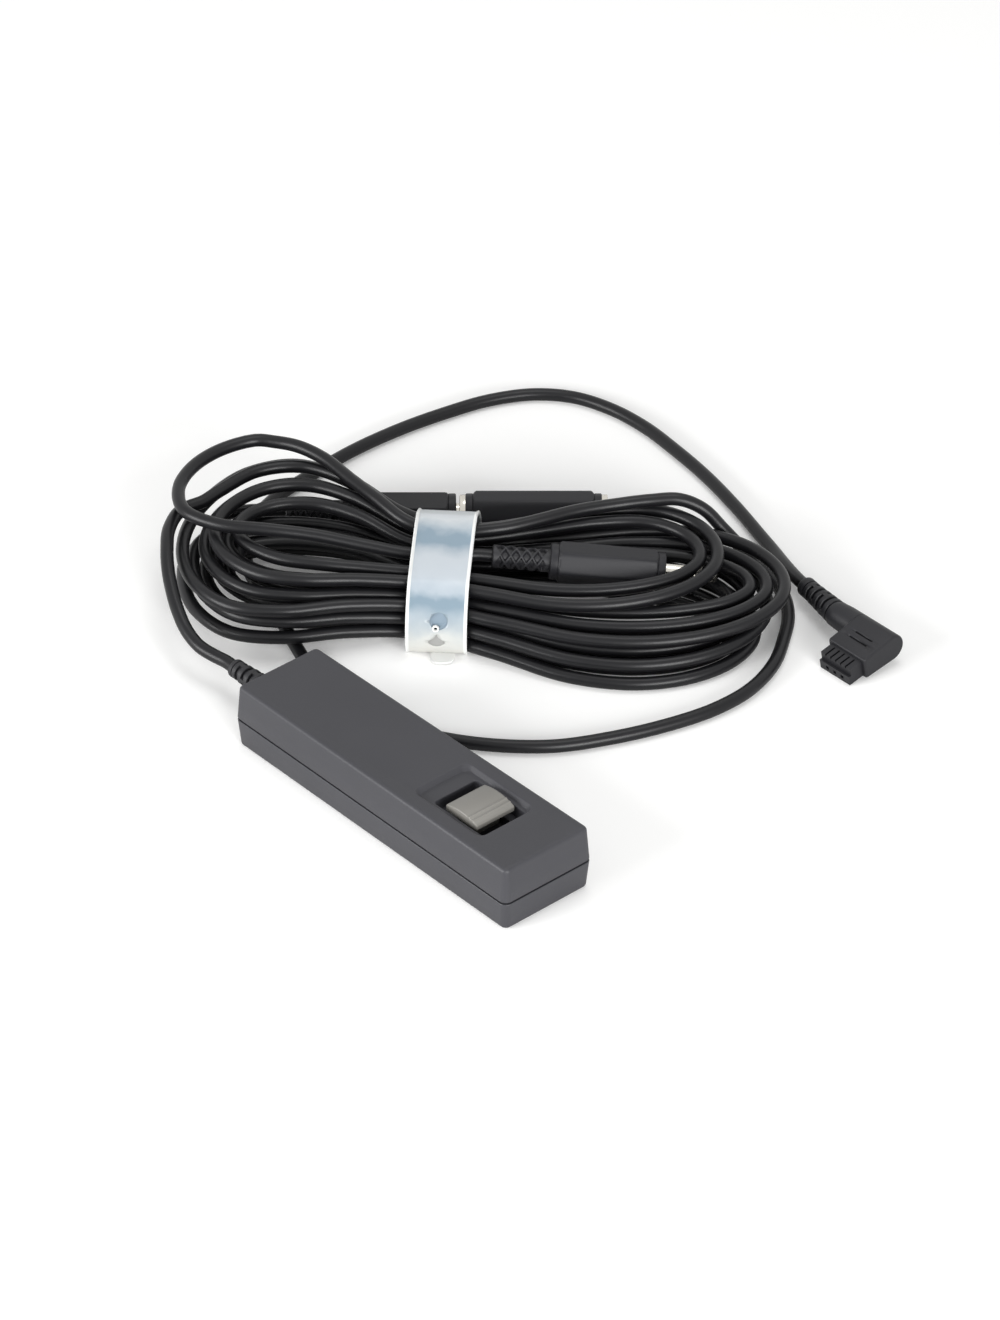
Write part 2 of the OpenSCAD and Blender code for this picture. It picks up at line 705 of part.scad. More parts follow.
module lower_shell() {
  color(shell_color)
  difference() {
    union() {
      difference() {
        lower_form();
        difference() {
          lower_hollow();
          screw_posts(0, shell_low);
        }
      }
      tongue();
      block_fence();
    }
    for (p = screw_places) {
      translate([p[0], p[1], -1])
        cylinder(h = screw_pocket_h + 1, d = screw_head_d + 0.4, $fn = fine);
      translate([p[0], p[1], -1])
        cylinder(h = parting_h + tongue_h + 2, d = screw_d + 0.3, $fn = fine);
    }
    relief_hole();
  }
}

module shell_screws() {
  color(nickel_color)
  for (p = screw_places) {
    translate([p[0], p[1], screw_pocket_h])
      difference() {
        union() {
          cylinder(h = screw_l, d = screw_d, $fn = fine);
          translate([0, 0, -screw_head_h])
            cylinder(h = screw_head_h, d = screw_head_d, $fn = fine);
        }
        for (turn = [0, 90]) {
          rotate([0, 0, turn])
            translate([-screw_head_d / 3, -0.3, -screw_head_h - 1])
              cube([screw_head_d * 2 / 3, 0.6, 1.7]);
        }
      }
  }
}

// Tapered boot cut by half rings, left whole on alternate sides
module ribbed_boot(l, d_end, d_base, ribs) {
  pitch = l / (ribs + 0.5);
  cut = pitch * 0.42;
  difference() {
    cylinder(h = l, d1 = d_end, d2 = d_base, $fn = fine);
    for (i = [0 : ribs - 1]) {
      translate([0, 0, pitch * (i + 0.6)])
        difference() {
          translate([-d_base, -d_base, 0])
            cube([2 * d_base, 2 * d_base, cut]);
          translate([0, 0, -1])
            cylinder(h = cut + 2, d = (d_end + (d_base - d_end) * i / ribs) * 0.72, $fn = fine);
          rotate([0, 0, 90 * (i % 2)])
            for (turn = [0, 180]) {
              rotate([0, 0, turn])
                translate([0, -0.6, -1])
                  cube([2 * d_base, 1.2, cut + 2]);
            }
        }
    }
  }
}

module handset_relief() {
  color(dark_color)
  translate([relief_x, 0, parting_h])
    rotate([0, 90, 0])
      union() {
        ribbed_boot(relief_l - snug, relief_end_d, relief_d, relief_ribs);
        translate([0, 0, relief_l - snug - eps])
          cylinder(h = flange_x + end_x + snug + 2 * eps, d = relief_neck_d, $fn = fine);
        translate([0, 0, flange_x - relief_x])
          cylinder(h = relief_flange_t, d = relief_flange_d, $fn = fine);
      }
}

module sheath_end() {
  color(cord_color)
  translate([sheath_x, 0, parting_h])
    rotate([0, 90, 0])
      cylinder(h = sheath_l, d = cord_d, $fn = fine);
}

module crown() {
  translate([button_x - crown_shift, 0, crown_z - crown_r])
    rotate([90, 0, 0])
      cylinder(h = handset_w, r = crown_r, center = true, $fn = 2 * fine);
}

module release_button() {
  color(button_color)
  union() {
    intersection() {
      translate([button_x, 0, cap_low])
        linear_extrude(crown_z + 1 - cap_low)
          round_rect(button_l, button_w, button_corner_r);
      crown();
    }
    for (i = [0, 1]) {
      x = button_l / 2 - ridge_in - i * ridge_pitch;
      drop = crown_r - sqrt(crown_r * crown_r - (x + crown_shift) * (x + crown_shift));
      translate([button_x + x - ridge_w / 2, -button_w / 2 + button_corner_r, crown_z - drop - 0.5])
        cube([ridge_w, button_w - 2 * button_corner_r, 0.5 + ridge_h]);
    }
    translate([button_x - stem_l / 2, -stem_w / 2, foot_z])
      cube([stem_l, stem_w, cap_low - foot_z + eps]);
    translate([button_x - stem_l / 2, -stem_w / 2 - foot_out, foot_z])
      cube([stem_l, stem_w + 2 * foot_out, foot_t]);
  }
}

module lock_slider() {
  color(dark_color)
  difference() {
    translate([button_x - slider_l / 2, -slider_w / 2, slider_low])
      cube([slider_l, slider_w, slider_t]);
    translate([button_x - stem_l / 2 - play, -stem_w / 2 - play, slider_low - 1])
      cube([stem_l + 2 * play, stem_w + 2 * play, slider_t + 2]);
    for (side = [-1, 1]) {
      translate([button_x + side * (slider_l / 2 - 2), 0, slider_low - 1])
        cylinder(h = slider_t + 2, d = 2, $fn = fine);
    }
  }
}

// Side view of a leaf that runs flat in the block and bends up to its tip
module leaf_strip(root_z, tip_z, tip_x, tail_y) {
  bend = block_front + leaf_bend;
  difference() {
    union() {
      translate([0, leaf_w / 2, 0])
        rotate([90, 0, 0])
          linear_extrude(leaf_w)
            polygon([[block_back, root_z], [block_front + 1, root_z], [bend, tip_z], [tip_x, tip_z],
              [tip_x, tip_z + leaf_t], [bend - 0.1, tip_z + leaf_t], [block_front + 0.9, root_z + leaf_t],
              [block_back, root_z + leaf_t]]);
      translate([block_back - tail_l, tail_y - wire_d / 2, root_z])
        cube([tail_l + eps, wire_d, leaf_t]);
    }
    for (x = rivet_x) {
      translate([x, 0, root_z - 1])
        cylinder(h = 2, d = rivet_d + 2 * snug, $fn = fine);
    }
  }
}

module common_leaf() {
  color(bronze_color)
  leaf_strip(common_root, common_z, leaf_tip, wire_spread);
}

module half_leaf() {
  color(bronze_color) {
    leaf_strip(half_root, half_z, button_x + lock_travel, 0);
    translate([button_x, 0, half_z + leaf_t])
      cylinder(h = 0.2, d = stud_d, $fn = fine);
  }
}

module full_leaf() {
  color(bronze_color) {
    leaf_strip(full_root, full_z, button_x + lock_travel, -wire_spread);
    translate([button_x, 0, full_z + leaf_t])
      cylinder(h = 0.2, d = stud_d, $fn = fine);
  }
}

module drilled_plate(low, h) {
  difference() {
    translate([block_back, -block_w / 2, low])
      cube([block_l, block_w, h]);
    for (x = rivet_x) {
      translate([x, 0, low - 1])
        cylinder(h = h + 2, d = rivet_d + 2 * snug, $fn = fine);
    }
  }
}

module contact_block() {
  color(insulator_color)
  drilled_plate(wall, block_h);
}

module contact_insulators() {
  color(insulator_color) {
    drilled_plate(full_root + leaf_t, insulator_t);
    drilled_plate(half_root + leaf_t, insulator_t);
    drilled_plate(common_root + leaf_t, insulator_t);
  }
}

module contact_rivets() {
  color(nickel_color)
  for (x = rivet_x) {
    translate([x, 0, wall])
      cylinder(h = stack_top - wall, d = rivet_d, $fn = fine);
    translate([x, 0, stack_top])
      cylinder(h = 0.5, d1 = rivet_d * 1.8, d2 = rivet_d * 1.4, $fn = fine);
  }
}

// A straight round wire from one point to another
module wire(from, to) {
  way = to - from;
  translate(from)
    rotate([0, acos(way[2] / norm(way)), atan2(way[1], way[0])])
      cylinder(h = norm(way), d = wire_d, $fn = 24);
}

module inner_wires() {
  start_x = sheath_x + sheath_l + wire_gap;
  end_at = block_back - tail_l - wire_gap;
  roots = [full_root, half_root, common_root];
  color("#a03a30")
  for (i = [-1, 0, 1]) {
    wire([start_x, i * wire_pitch, parting_h], [end_at, i * wire_spread, roots[i + 1] + leaf_t / 2]);
  }
}

module handset_lead() {
  color(cord_color)
  cord_tube(HANDSET_LEAD, 8);
}

module cord_hank() {
  color(cord_color)
  cord_tube(HANK_ROUTE, 6);
}

module plug_lead() {
  color(cord_color)
  cord_tube(PLUG_LEAD, 8);
}

module camera_lead() {
  color(cord_color)
  cord_tube(CAMERA_LEAD, 8);
}

// Cross section of the strap, drawn tight round every cord that it holds:
// the cords' middles across and up where they pass through it
strap_r = cord_r + strap_clear;
strap_low = bead_h + strap_t + strap_r;
function in_strap(p) = [
  (p[0] - hank_x) * cos(strap_turn) + (p[1] - hank_y) * sin(strap_turn),
  (p[1] - hank_y) * cos(strap_turn) - (p[0] - hank_x) * sin(strap_turn),
  p[2]];
function crossings(route) = [for (i = [1 : len(route) - 1], x = [-strap_w / 2, 0, strap_w / 2])
  let (a = in_strap(route[i - 1]), b = in_strap(route[i]))
  if ((a[0] - x) * (b[0] - x) < 0)
    let (p = a + (b - a) * (x - a[0]) / (b[0] - a[0]))
    if (abs(p[1]) < strap_reach) [p[1], max(p[2], strap_low)]];
STRAP_CORNERS = concat(crossings(HANK_ROUTE), crossings(CAMERA_LEAD));
strap_front_x = min([for (p = STRAP_CORNERS) p[0]]);

module strap_outline(grow) {
  hull() {
    for (p = STRAP_CORNERS) {
      translate(p)
        circle(strap_r + grow, $fn = soft);
    }
  }
}

module strap_band(from, to, grow) {
  translate([from, 0, 0])
    rotate([90, 0, 90])
      linear_extrude(to - from)
        difference() {
          strap_outline(grow);
          strap_outline(0);
        }
}

module hank_strap() {
  front_y = strap_front_x - strap_r - strap_t;
  color(strap_color)
  translate([hank_x, hank_y, 0])
    rotate([0, 0, strap_turn])
      difference() {
        union() {
          strap_band(-strap_w / 2, strap_w / 2, strap_t);
          strap_band(-strap_w / 2, -strap_w / 2 + bead_w, strap_t + bead_h);
          strap_band(strap_w / 2 - bead_w, strap_w / 2, strap_t + bead_h);
          translate([-tab_w / 2 + 1, front_y - tab_l, bead_h])
            cube([tab_w, tab_l + strap_r, strap_t]);
          translate([-0.6, front_y - 0.5, strap_low - 0.4])
            rotate([-90, 0, 0])
              cylinder(h = 0.8, d = 2.6, $fn = fine);
        }
        translate([0, front_y - 1, strap_low + 3.6])
          rotate([-90, 0, 0])
            linear_extrude(3)
              round_rect(strap_hole_l, strap_hole_h, strap_hole_h / 2 - eps);
        translate([-0.6, front_y - 2, strap_low - 0.4])
          rotate([-90, 0, 0])
            cylinder(h = 4, d = 1.2, $fn = fine);
      }
}

// Places a plug's parts: local +Z runs from the cord end to the tip
module on_axis(at, turn, dip, roll) {
  translate(at)
    rotate([0, 90 + dip, turn])
      rotate([0, 0, roll])
        children();
}

module at_seated() {
  on_axis(seated_at, coupled_turn, 0, 90 + plug_roll)
    children();
}

module at_coupler() {
  on_axis(seated_at, coupled_turn, 0, 90)
    children();
}

module at_free() {
  on_axis(free_at, free_turn, free_dip, 90)
    children();
}

// Relief with rows of diamond openings over a round core
module plug_relief() {
  core_d = cord_d + 0.6;
  cell = (plug_relief_l - 2.4) / lattice_count;
  union() {
    cylinder(h = plug_relief_l, d = core_d, $fn = fine);
    difference() {
      cylinder(h = plug_relief_l, d = plug_relief_d, $fn = fine);
      for (i = [0 : lattice_count - 1], turn = [0 : 60 : 300]) {
        rotate([0, 0, turn + 30 * (i % 2)])
          translate([plug_relief_d / 2, 0, 1.2 + cell * (i + 0.5)])
            rotate([45, 0, 0])
              cube([plug_relief_d - core_d, cell * 0.52, cell * 0.52], center = true);
      }
    }
  }
}

module plug_body() {
  translate([0, 0, plug_body_x])
    cylinder(h = collar_l, d = collar_d, $fn = fine);
  translate([0, 0, plug_hex_x])
    cylinder(h = plug_hex_l, r = hex_r, $fn = 6);
  translate([0, 0, plug_front_x])
    cylinder(h = collar_l, d = collar_d, $fn = fine);
}

module plug_sleeve() {
  translate([0, 0, shaft_x])
    difference() {
      cylinder(h = sleeve_l, d = sleeve_d, $fn = fine);
      translate([0, 0, -1])
        cylinder(h = sleeve_l + 2, d = liner_d, $fn = fine);
    }
}

module plug_ring() {
  translate([0, 0, shaft_x + sleeve_l + insulating_l])
    difference() {
      cylinder(h = ring_l, d = ring_d, $fn = fine);
      translate([0, 0, -1])
        cylinder(h = ring_l + 2, d = liner_d, $fn = fine);
    }
}

// Moulded liner inside sleeve and ring, standing out between the contacts
module plug_insulators() {
  all_l = sleeve_l + ring_l + 2 * insulating_l;
  translate([0, 0, shaft_x])
    difference() {
      union() {
        cylinder(h = all_l, d = liner_d, $fn = fine);
        translate([0, 0, sleeve_l])
          cylinder(h = insulating_l, d = ring_d + 0.4, $fn = fine);
        translate([0, 0, all_l - insulating_l])
          cylinder(h = insulating_l, d = ring_d, $fn = fine);
      }
      translate([0, 0, -1])
        cylinder(h = all_l + 2, d = rod_d, $fn = fine);
    }
}

module plug_tip() {
  all_l = sleeve_l + ring_l + 2 * insulating_l;
  translate([0, 0, shaft_x]) {
    cylinder(h = all_l + eps, d = rod_d, $fn = fine);
    translate([0, 0, all_l])
      rotate_extrude($fn = fine)
        polygon([[0, 0], [tip_d * 0.36, 0], [tip_d * 0.36, tip_l * 0.18], [tip_d * 0.5, tip_l * 0.42],
          [tip_d * 0.49, tip_l * 0.66], [tip_d * 0.43, tip_l * 0.82], [tip_d * 0.3, tip_l * 0.94],
          [tip_d * 0.15, tip_l * 0.99], [0, tip_l]]);
  }
}

module seated_plug_relief() {
  color(dark_color)
  at_seated()
    plug_relief();
}

module seated_plug_body() {
  color(dark_color)
  at_seated()
    plug_body();
}

module seated_plug_sleeve() {
  color(nickel_color)
  at_seated()
    plug_sleeve();
}

module seated_plug_insulators() {
  color(dark_color)
  at_seated()
    plug_insulators();
}

module seated_plug_ring() {
  color(nickel_color)
  at_seated()
    plug_ring();
}

module seated_plug_tip() {
  color(nickel_color)
  at_seated()
    plug_tip();
}

module free_plug_relief() {
  color(dark_color)
  at_free()
    plug_relief();
}

module free_plug_body() {
  color(dark_color)
  at_free()
    plug_body();
}

module free_plug_sleeve() {
  color(nickel_color)
  at_free()
    plug_sleeve();
}

module free_plug_insulators() {
  color(dark_color)
  at_free()
    plug_insulators();
}

module free_plug_ring() {
  color(nickel_color)
  at_free()
    plug_ring();
}

module free_plug_tip() {
  color(nickel_color)
  at_free()
    plug_tip();
}

// Depths of the contact clips below a socket's mouth
clip_depths = [3.2, sleeve_l + insulating_l + ring_l / 2 - seat_gap, socket_depth - 3];

// One child at each end of the coupler, with local +Z going in at the mouth
module at_mouths() {
  translate([0, 0, coupler_x])
    children();
  translate([0, 0, coupler_x + coupler_l])
    mirror([0, 0, 1])
      children();
}

module coupler_body() {
  inner_l = coupler_l - 2 * flange_t;
  color(dark_color)
  at_coupler()
    difference() {
      union() {
        translate([0, 0, coupler_x + flange_t])
          cylinder(h = inner_l, d = collar_d, $fn = fine);
        translate([0, 0, coupler_x + flange_t + collar_l])
          cylinder(h = inner_l - 2 * collar_l, r = hex_r, $fn = 6);
      }
      at_mouths() {
        translate([0, 0, -1])
          cylinder(h = socket_depth + 1, d = socket_d, $fn = fine);
        for (deep = clip_depths) {
          translate([0, 0, deep])
            cylinder(h = clip_w + 2 * snug, d = socket_d + 2 * clip_t + 2 * snug, $fn = fine);
        }
      }
    }
}

module coupler_flanges() {
  color(nickel_color)
  at_coupler()
    at_mouths()
      difference() {
        cylinder(h = flange_t, d = flange_d, $fn = fine);
        translate([0, 0, -1])
          cylinder(h = flange_t + 2, d = socket_d + 0.4, $fn = fine);
      }
}

module coupler_clips() {
  color(bronze_color)
  at_coupler()
    at_mouths()
      for (deep = clip_depths) {
        translate([0, 0, deep + snug])
          difference() {
            cylinder(h = clip_w, d = socket_d + 2 * clip_t, $fn = fine);
            translate([0, 0, -1])
              cylinder(h = clip_w + 2, d = socket_d, $fn = fine);
            translate([0, -clip_w / 2, -1])
              cube([socket_d, clip_w, clip_w + 2]);
          }
      }
}

// The camera plug's barrel, block and nose: local +X runs along the barrel
// from the bend relief, and the block reaches out along local -Y
block_end = barrel_l - 0.6;
block_mid = block_end - block_x / 2;
block_low = -block_z / 2;
nose_low = block_low + 0.5;
nose_end = -block_y - nose_l;
nose_lip = 0.8;
hole_z = nose_low + nose_h * 0.28;

module at_barrel() {
  translate(barrel_at)
    rotate([camera_roll, 0, 0])
      children();
}

module barrel() {
  rotate([0, 90, 0])
    rotate_extrude($fn = fine)
      polygon([[0, 0], [barrel_d * 0.47, 0], [barrel_d / 2, 3], [barrel_d / 2, barrel_l - 1.6],
        [barrel_d * 0.47, barrel_l - 0.8], [barrel_d * 0.4, barrel_l - 0.2],
        [barrel_d * 0.34, barrel_l], [0, barrel_l]]);
}

// Two shallow marks on top of the block
module block_marks() {
  mark_l = block_x - 5.6;
  mark_w = 0.5;
  mark_pitch = 1.9;
  for (i = [0, 1]) {
    translate([block_end - block_x + 3, -block_y * 0.62 + i * mark_pitch, block_z / 2 - 0.4])
      cube([mark_l, mark_w, 1]);
  }
}

module camera_plug_body() {
  color(dark_color) {
    on_axis(camera_at, camera_turn, -camera_rise, 0)
      ribbed_boot(cam_relief_l + eps, cam_relief_end_d, barrel_d * 0.94, 5);
    at_barrel()
      difference() {
        union() {
          sphere(barrel_d * 0.48, $fn = fine);
          barrel();
          translate([block_end - block_x, -block_y, block_low])
            cube([block_x, block_y, block_z]);
        }
        block_marks();
        translate([block_mid - nose_w / 2 - snug, -block_y - 1, nose_low - snug])
          cube([nose_w + 2 * snug, nose_root + 1, nose_h + 2 * snug]);
      }
  }
}

module camera_plug_nose() {
  rib_pitch = nose_w / key_ribs;
  groove_w = 0.5;
  groove_h = 0.6;
  color(dark_color)
  at_barrel()
    difference() {
      union() {
        translate([block_mid - nose_w / 2, nose_end + nose_lip, nose_low])
          cube([nose_w, nose_l + nose_root - nose_lip, nose_h]);
        translate([block_mid - nose_w / 2, nose_end, nose_low])
          cube([nose_w, nose_lip + eps, nose_h * 0.55]);
      }
      for (i = [1 : key_ribs - 1]) {
        translate([block_mid - nose_w / 2 + i * rib_pitch - groove_w / 2, nose_end,
                   nose_low + nose_h - groove_h])
          cube([groove_w, nose_l - groove_h, 1]);
      }
      for (i = [-1, 0, 1]) {
        translate([block_mid + i * contact_pitch - contact_hole / 2, nose_end - 1, hole_z - contact_hole / 2])
          cube([contact_hole, contact_depth + 1, contact_hole]);
      }
    }
}

module camera_plug_contacts() {
  size = contact_hole - 2 * snug;
  inset = 1.2;
  skin = 0.2;
  color(bronze_color)
  at_barrel()
    for (i = [-1, 0, 1]) {
      translate([block_mid + i * contact_pitch - size / 2, nose_end + inset, hole_z - size / 2])
        difference() {
          cube([size, contact_depth - inset, size]);
          translate([skin, -1, skin])
            cube([size - 2 * skin, contact_depth - inset - skin, size - 2 * skin]);
        }
    }
}

upper_shell();
lower_shell();
shell_screws();
handset_relief();
release_button();
lock_slider();
common_leaf();
half_leaf();
full_leaf();
contact_block();
contact_insulators();
contact_rivets();
inner_wires();
sheath_end();
handset_lead();
cord_hank();
plug_lead();
camera_lead();
hank_strap();
seated_plug_relief();
seated_plug_body();
seated_plug_sleeve();
seated_plug_insulators();
seated_plug_ring();
seated_plug_tip();
coupler_body();
coupler_flanges();
coupler_clips();
free_plug_relief();
free_plug_body();
free_plug_sleeve();
free_plug_insulators();
free_plug_ring();
free_plug_tip();
camera_plug_body();
camera_plug_nose();
camera_plug_contacts();
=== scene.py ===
import math

import bmesh
import bpy
from mathutils import Matrix, Vector


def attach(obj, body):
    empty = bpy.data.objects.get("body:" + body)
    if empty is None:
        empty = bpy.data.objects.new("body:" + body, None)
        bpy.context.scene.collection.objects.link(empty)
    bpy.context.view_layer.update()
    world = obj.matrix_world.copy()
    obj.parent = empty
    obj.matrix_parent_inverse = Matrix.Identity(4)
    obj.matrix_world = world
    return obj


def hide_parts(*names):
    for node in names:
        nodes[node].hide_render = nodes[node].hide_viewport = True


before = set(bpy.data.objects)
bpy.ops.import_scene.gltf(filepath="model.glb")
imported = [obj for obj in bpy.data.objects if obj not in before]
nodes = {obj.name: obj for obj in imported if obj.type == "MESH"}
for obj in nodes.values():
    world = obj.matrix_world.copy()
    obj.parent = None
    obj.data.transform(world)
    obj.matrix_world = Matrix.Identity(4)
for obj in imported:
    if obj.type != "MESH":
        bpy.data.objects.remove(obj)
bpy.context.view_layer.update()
scene = bpy.context.scene
scene.view_settings.view_transform = "Standard"

# --------------------------------------------
# Viewpoint. A long lens looks down over the free end of the handset, so the
# button is nearest and the hank lies across the view behind it.
# --------------------------------------------
AIM = Vector((-0.0335, 0.0585, 0.0))
VIEW_FROM = Vector((0.8670, -0.7382, 0.8544))
LENS_MM = 161.5

camera_data = bpy.data.cameras.new("viewpoint")
camera_data.lens = LENS_MM
camera_data.sensor_width = 36.0
camera_data.clip_start, camera_data.clip_end = 0.1, 20.0
camera = bpy.data.objects.new("viewpoint", camera_data)
camera.location = VIEW_FROM
camera.rotation_euler = (AIM - VIEW_FROM).to_track_quat("-Z", "Y").to_euler()
scene.collection.objects.link(camera)
scene.camera = camera

# --------------------------------------------
# Table and studio light. A plain white table under a broad overhead box, with
# two low boxes that face the handset's sides, in a white room that glossy
# plastic mirrors.
# --------------------------------------------
TABLE_WHITE = "#f6f6f5"
TABLE_HALF = 3.0
TABLE_GLOW = 0.12
ROOM_FILL = 0.43


def colour(hex_code):
    """sRGB hex, as a colour is measured, to the linear values of a socket."""
    parts = [int(hex_code[i:i + 2], 16) / 255 for i in (1, 3, 5)]
    linear = [p / 12.92 if p <= 0.04045 else ((p + 0.055) / 1.055) ** 2.4 for p in parts]
    return (*linear, 1.0)


def add(tree, kind, settings=None, links=None):
    """One node with its settings and its links from other nodes' outputs."""
    node = tree.nodes.new(kind)
    for name, value in (settings or {}).items():
        if isinstance(name, int) or name in node.inputs:
            node.inputs[name].default_value = value
        else:
            setattr(node, name, value)
    for name, source in (links or {}).items():
        tree.links.new(source, node.inputs[name])
    return node


def new_material(name):
    material = bpy.data.materials.new(name)
    material.use_nodes = True
    material.node_tree.nodes.clear()
    return material, material.node_tree


def surface_with(tree, settings, links=None):
    """Ends a material's tree in one Principled surface."""
    surface = add(tree, "ShaderNodeBsdfPrincipled", settings, links)
    add(tree, "ShaderNodeOutputMaterial", links={"Surface": surface.outputs["BSDF"]})


def between(tree, source, low, high):
    """The source's run from 0 to 1 as one from low to high."""
    return add(tree, "ShaderNodeMapRange", {"To Min": low, "To Max": high}, {"Value": source}).outputs[0]


table_corners = [TABLE_HALF * Vector(corner) for corner in ((-1, -1, 0), (1, -1, 0), (1, 1, 0), (-1, 1, 0))]
table_mesh = bpy.data.meshes.new("table_top")
table_mesh.from_pydata(table_corners, [], [(0, 1, 2, 3)])
table_top = bpy.data.objects.new("table_top", table_mesh)
scene.collection.objects.link(table_top)
table_paint, tree = new_material("matt_white_table")
glow = add(tree, "ShaderNodeMath", {"operation": "MULTIPLY", 1: TABLE_GLOW},
           {0: add(tree, "ShaderNodeLightPath").outputs["Is Camera Ray"]})
surface_with(tree, {"Base Color": colour(TABLE_WHITE), "Roughness": 0.9, "Specular IOR Level": 0.1,
                    "Emission Color": (1, 1, 1, 1)}, {"Emission Strength": glow.outputs[0]})
table_mesh.materials.append(table_paint)

room = bpy.data.worlds.new("white_room")
room.use_nodes = True
room.node_tree.nodes.clear()
tree = room.node_tree
rays = add(tree, "ShaderNodeLightPath").outputs
white = rays["Is Camera Ray"]
for ray in ("Is Transmission Ray", "Is Glossy Ray"):
    white = add(tree, "ShaderNodeMath", {"operation": "MAXIMUM"}, {0: white, 1: rays[ray]}).outputs[0]
backdrop = add(tree, "ShaderNodeBackground", {"Color": (1, 1, 1, 1)},
               {"Strength": between(tree, white, ROOM_FILL, 1.0)})
add(tree, "ShaderNodeOutputWorld", links={"Surface": backdrop.outputs[0]})
scene.world = room

# Name, place in metres, width, height and watts
SOFT_BOXES = (("overhead_box", (-0.12, 0.32, 1.2), 0.55, 0.55, 3.0),
              ("left_box", (-0.35, -1.15, 0.36), 0.9, 0.6, 19.0),
              ("front_box", (1.15, -0.3, 0.34), 0.7, 0.6, 18.0))
for name, place, width, height, watts in SOFT_BOXES:
    lamp = bpy.data.lights.new(name, "AREA")
    lamp.shape = "RECTANGLE"
    lamp.size, lamp.size_y, lamp.energy = width, height, watts
    holder = bpy.data.objects.new(name, lamp)
    holder.location = place
    holder.rotation_euler = (AIM - Vector(place)).to_track_quat("-Z", "Y").to_euler()
    scene.collection.objects.link(holder)

# --------------------------------------------
# The long cord. Black PVC sheath over a screened pair, 3.4 mm thick and 3.6 m
# long. It leaves the handset's bend relief, climbs into the hank, winds eleven
# loops in four layers under the strap and ends in the seated jack plug.
# --------------------------------------------
MM = 0.001
CORD_D = 3.4
REST_Z = CORD_D / 2 + 0.05
HANK_X, HANK_Y, HANK_TURN = -59.5, 62.5, math.radians(38.5)
LOOPS_IN, HANK_FROM, HANK_TO = 3, 0.2, 11.2
POINTS_PER_LOOP, KNOTS_PER_LOOP, CLOSE_BY = 96, 24, 0.02
# In loops: how late a climb to the next layer is, and half of what it takes
CLIMB_LATE, CLIMB_HALF = -0.025, 0.11
# In mm: the innermost loop's measure, and what each loop outside it adds
LEFT_REACH, RIGHT_REACH = (51.5, 5.5), (69.4, 4.3)
LEFT_FRONT, LEFT_BACK_LOW, LEFT_BACK_TOP = (11.0, 8.5), (7.0, 4.3), (13.8, 9.2)
RIGHT_HALF, WAIST_BACK, WAIST_FRONT = (12.5, 6.0), (5.6, 4.3), (4.4, 4.3)
THIRD_LAYER_MORE, TOP_LAYER_LESS, LOBE_SWELL, LAYER_H = 6.0, 15.6, 1.45, 4.0
LEFT_FLARE, RIGHT_BACK_FLARE, RIGHT_FRONT_FLARE = 2.0, 1.7, 1.3
LEFT_LEAN, RIGHT_LEAN = 2.0, 4.5
# Clearance under the loops: at the waist and on the left, and where it changes
WAIST_LIFT, LEFT_LIFT, FLAT_L, RISE_L, FALL_L = 1.2, 4.1, 6.0, 22.0, 30.0
PLUG_TURN = math.radians(48.5)
SEATED_AT = Vector((-113.5, 56.0, 5.4194))
RELIEF_END = Vector((-66.0, 0.0, 8.0))


def ease(v):
    v = min(max(v, 0.0), 1.0)
    return v * v * (3 - 2 * v)


def grown(measure, loops):
    return measure[0] + measure[1] * loops


def hank_point(t):
    """A point of the wound cord at loop t, drawn in at the waist."""
    place = abs(LOOPS_IN - t % (2 * LOOPS_IN))
    layer = sum(ease((t - k * LOOPS_IN - CLIMB_LATE + CLIMB_HALF) / (2 * CLIMB_HALF)) for k in (1, 2, 3))
    run, side = -math.sin(math.tau * t), math.cos(math.tau * t)
    third, top = (min(max(layer - below, 0), 1) for below in (1, 2))
    if run < 0:
        reach = grown(LEFT_REACH, place)
        back = grown(LEFT_BACK_LOW, place) * (1 - third) + grown(LEFT_BACK_TOP, place) * third
        lobe = back if side > 0 else grown(LEFT_FRONT, place)
        flare, lean = LEFT_FLARE, LEFT_LEAN
    else:
        reach = grown(RIGHT_REACH, place) + THIRD_LAYER_MORE * third - TOP_LAYER_LESS * top
        lobe, lean = grown(RIGHT_HALF, place), RIGHT_LEAN * layer
        flare = RIGHT_BACK_FLARE if side > 0 else RIGHT_FRONT_FLARE
    waist = grown(WAIST_BACK if side > 0 else WAIST_FRONT, place)
    spread = math.sin(math.pi / 2 * abs(run)) ** flare
    along = reach * run
    across = side * (waist + (LOBE_SWELL * lobe - waist) * spread) + lean * spread
    if run < 0:
        lift = WAIST_LIFT + (LEFT_LIFT - WAIST_LIFT) * ease((-along - FLAT_L) / RISE_L)
    else:
        lift = WAIST_LIFT * (1 - ease((along - FLAT_L) / FALL_L))
    c, s = math.cos(HANK_TURN), math.sin(HANK_TURN)
    return Vector((HANK_X + along * c - across * s, HANK_Y + along * s + across * c,
                   REST_Z + LAYER_H * layer + lift))


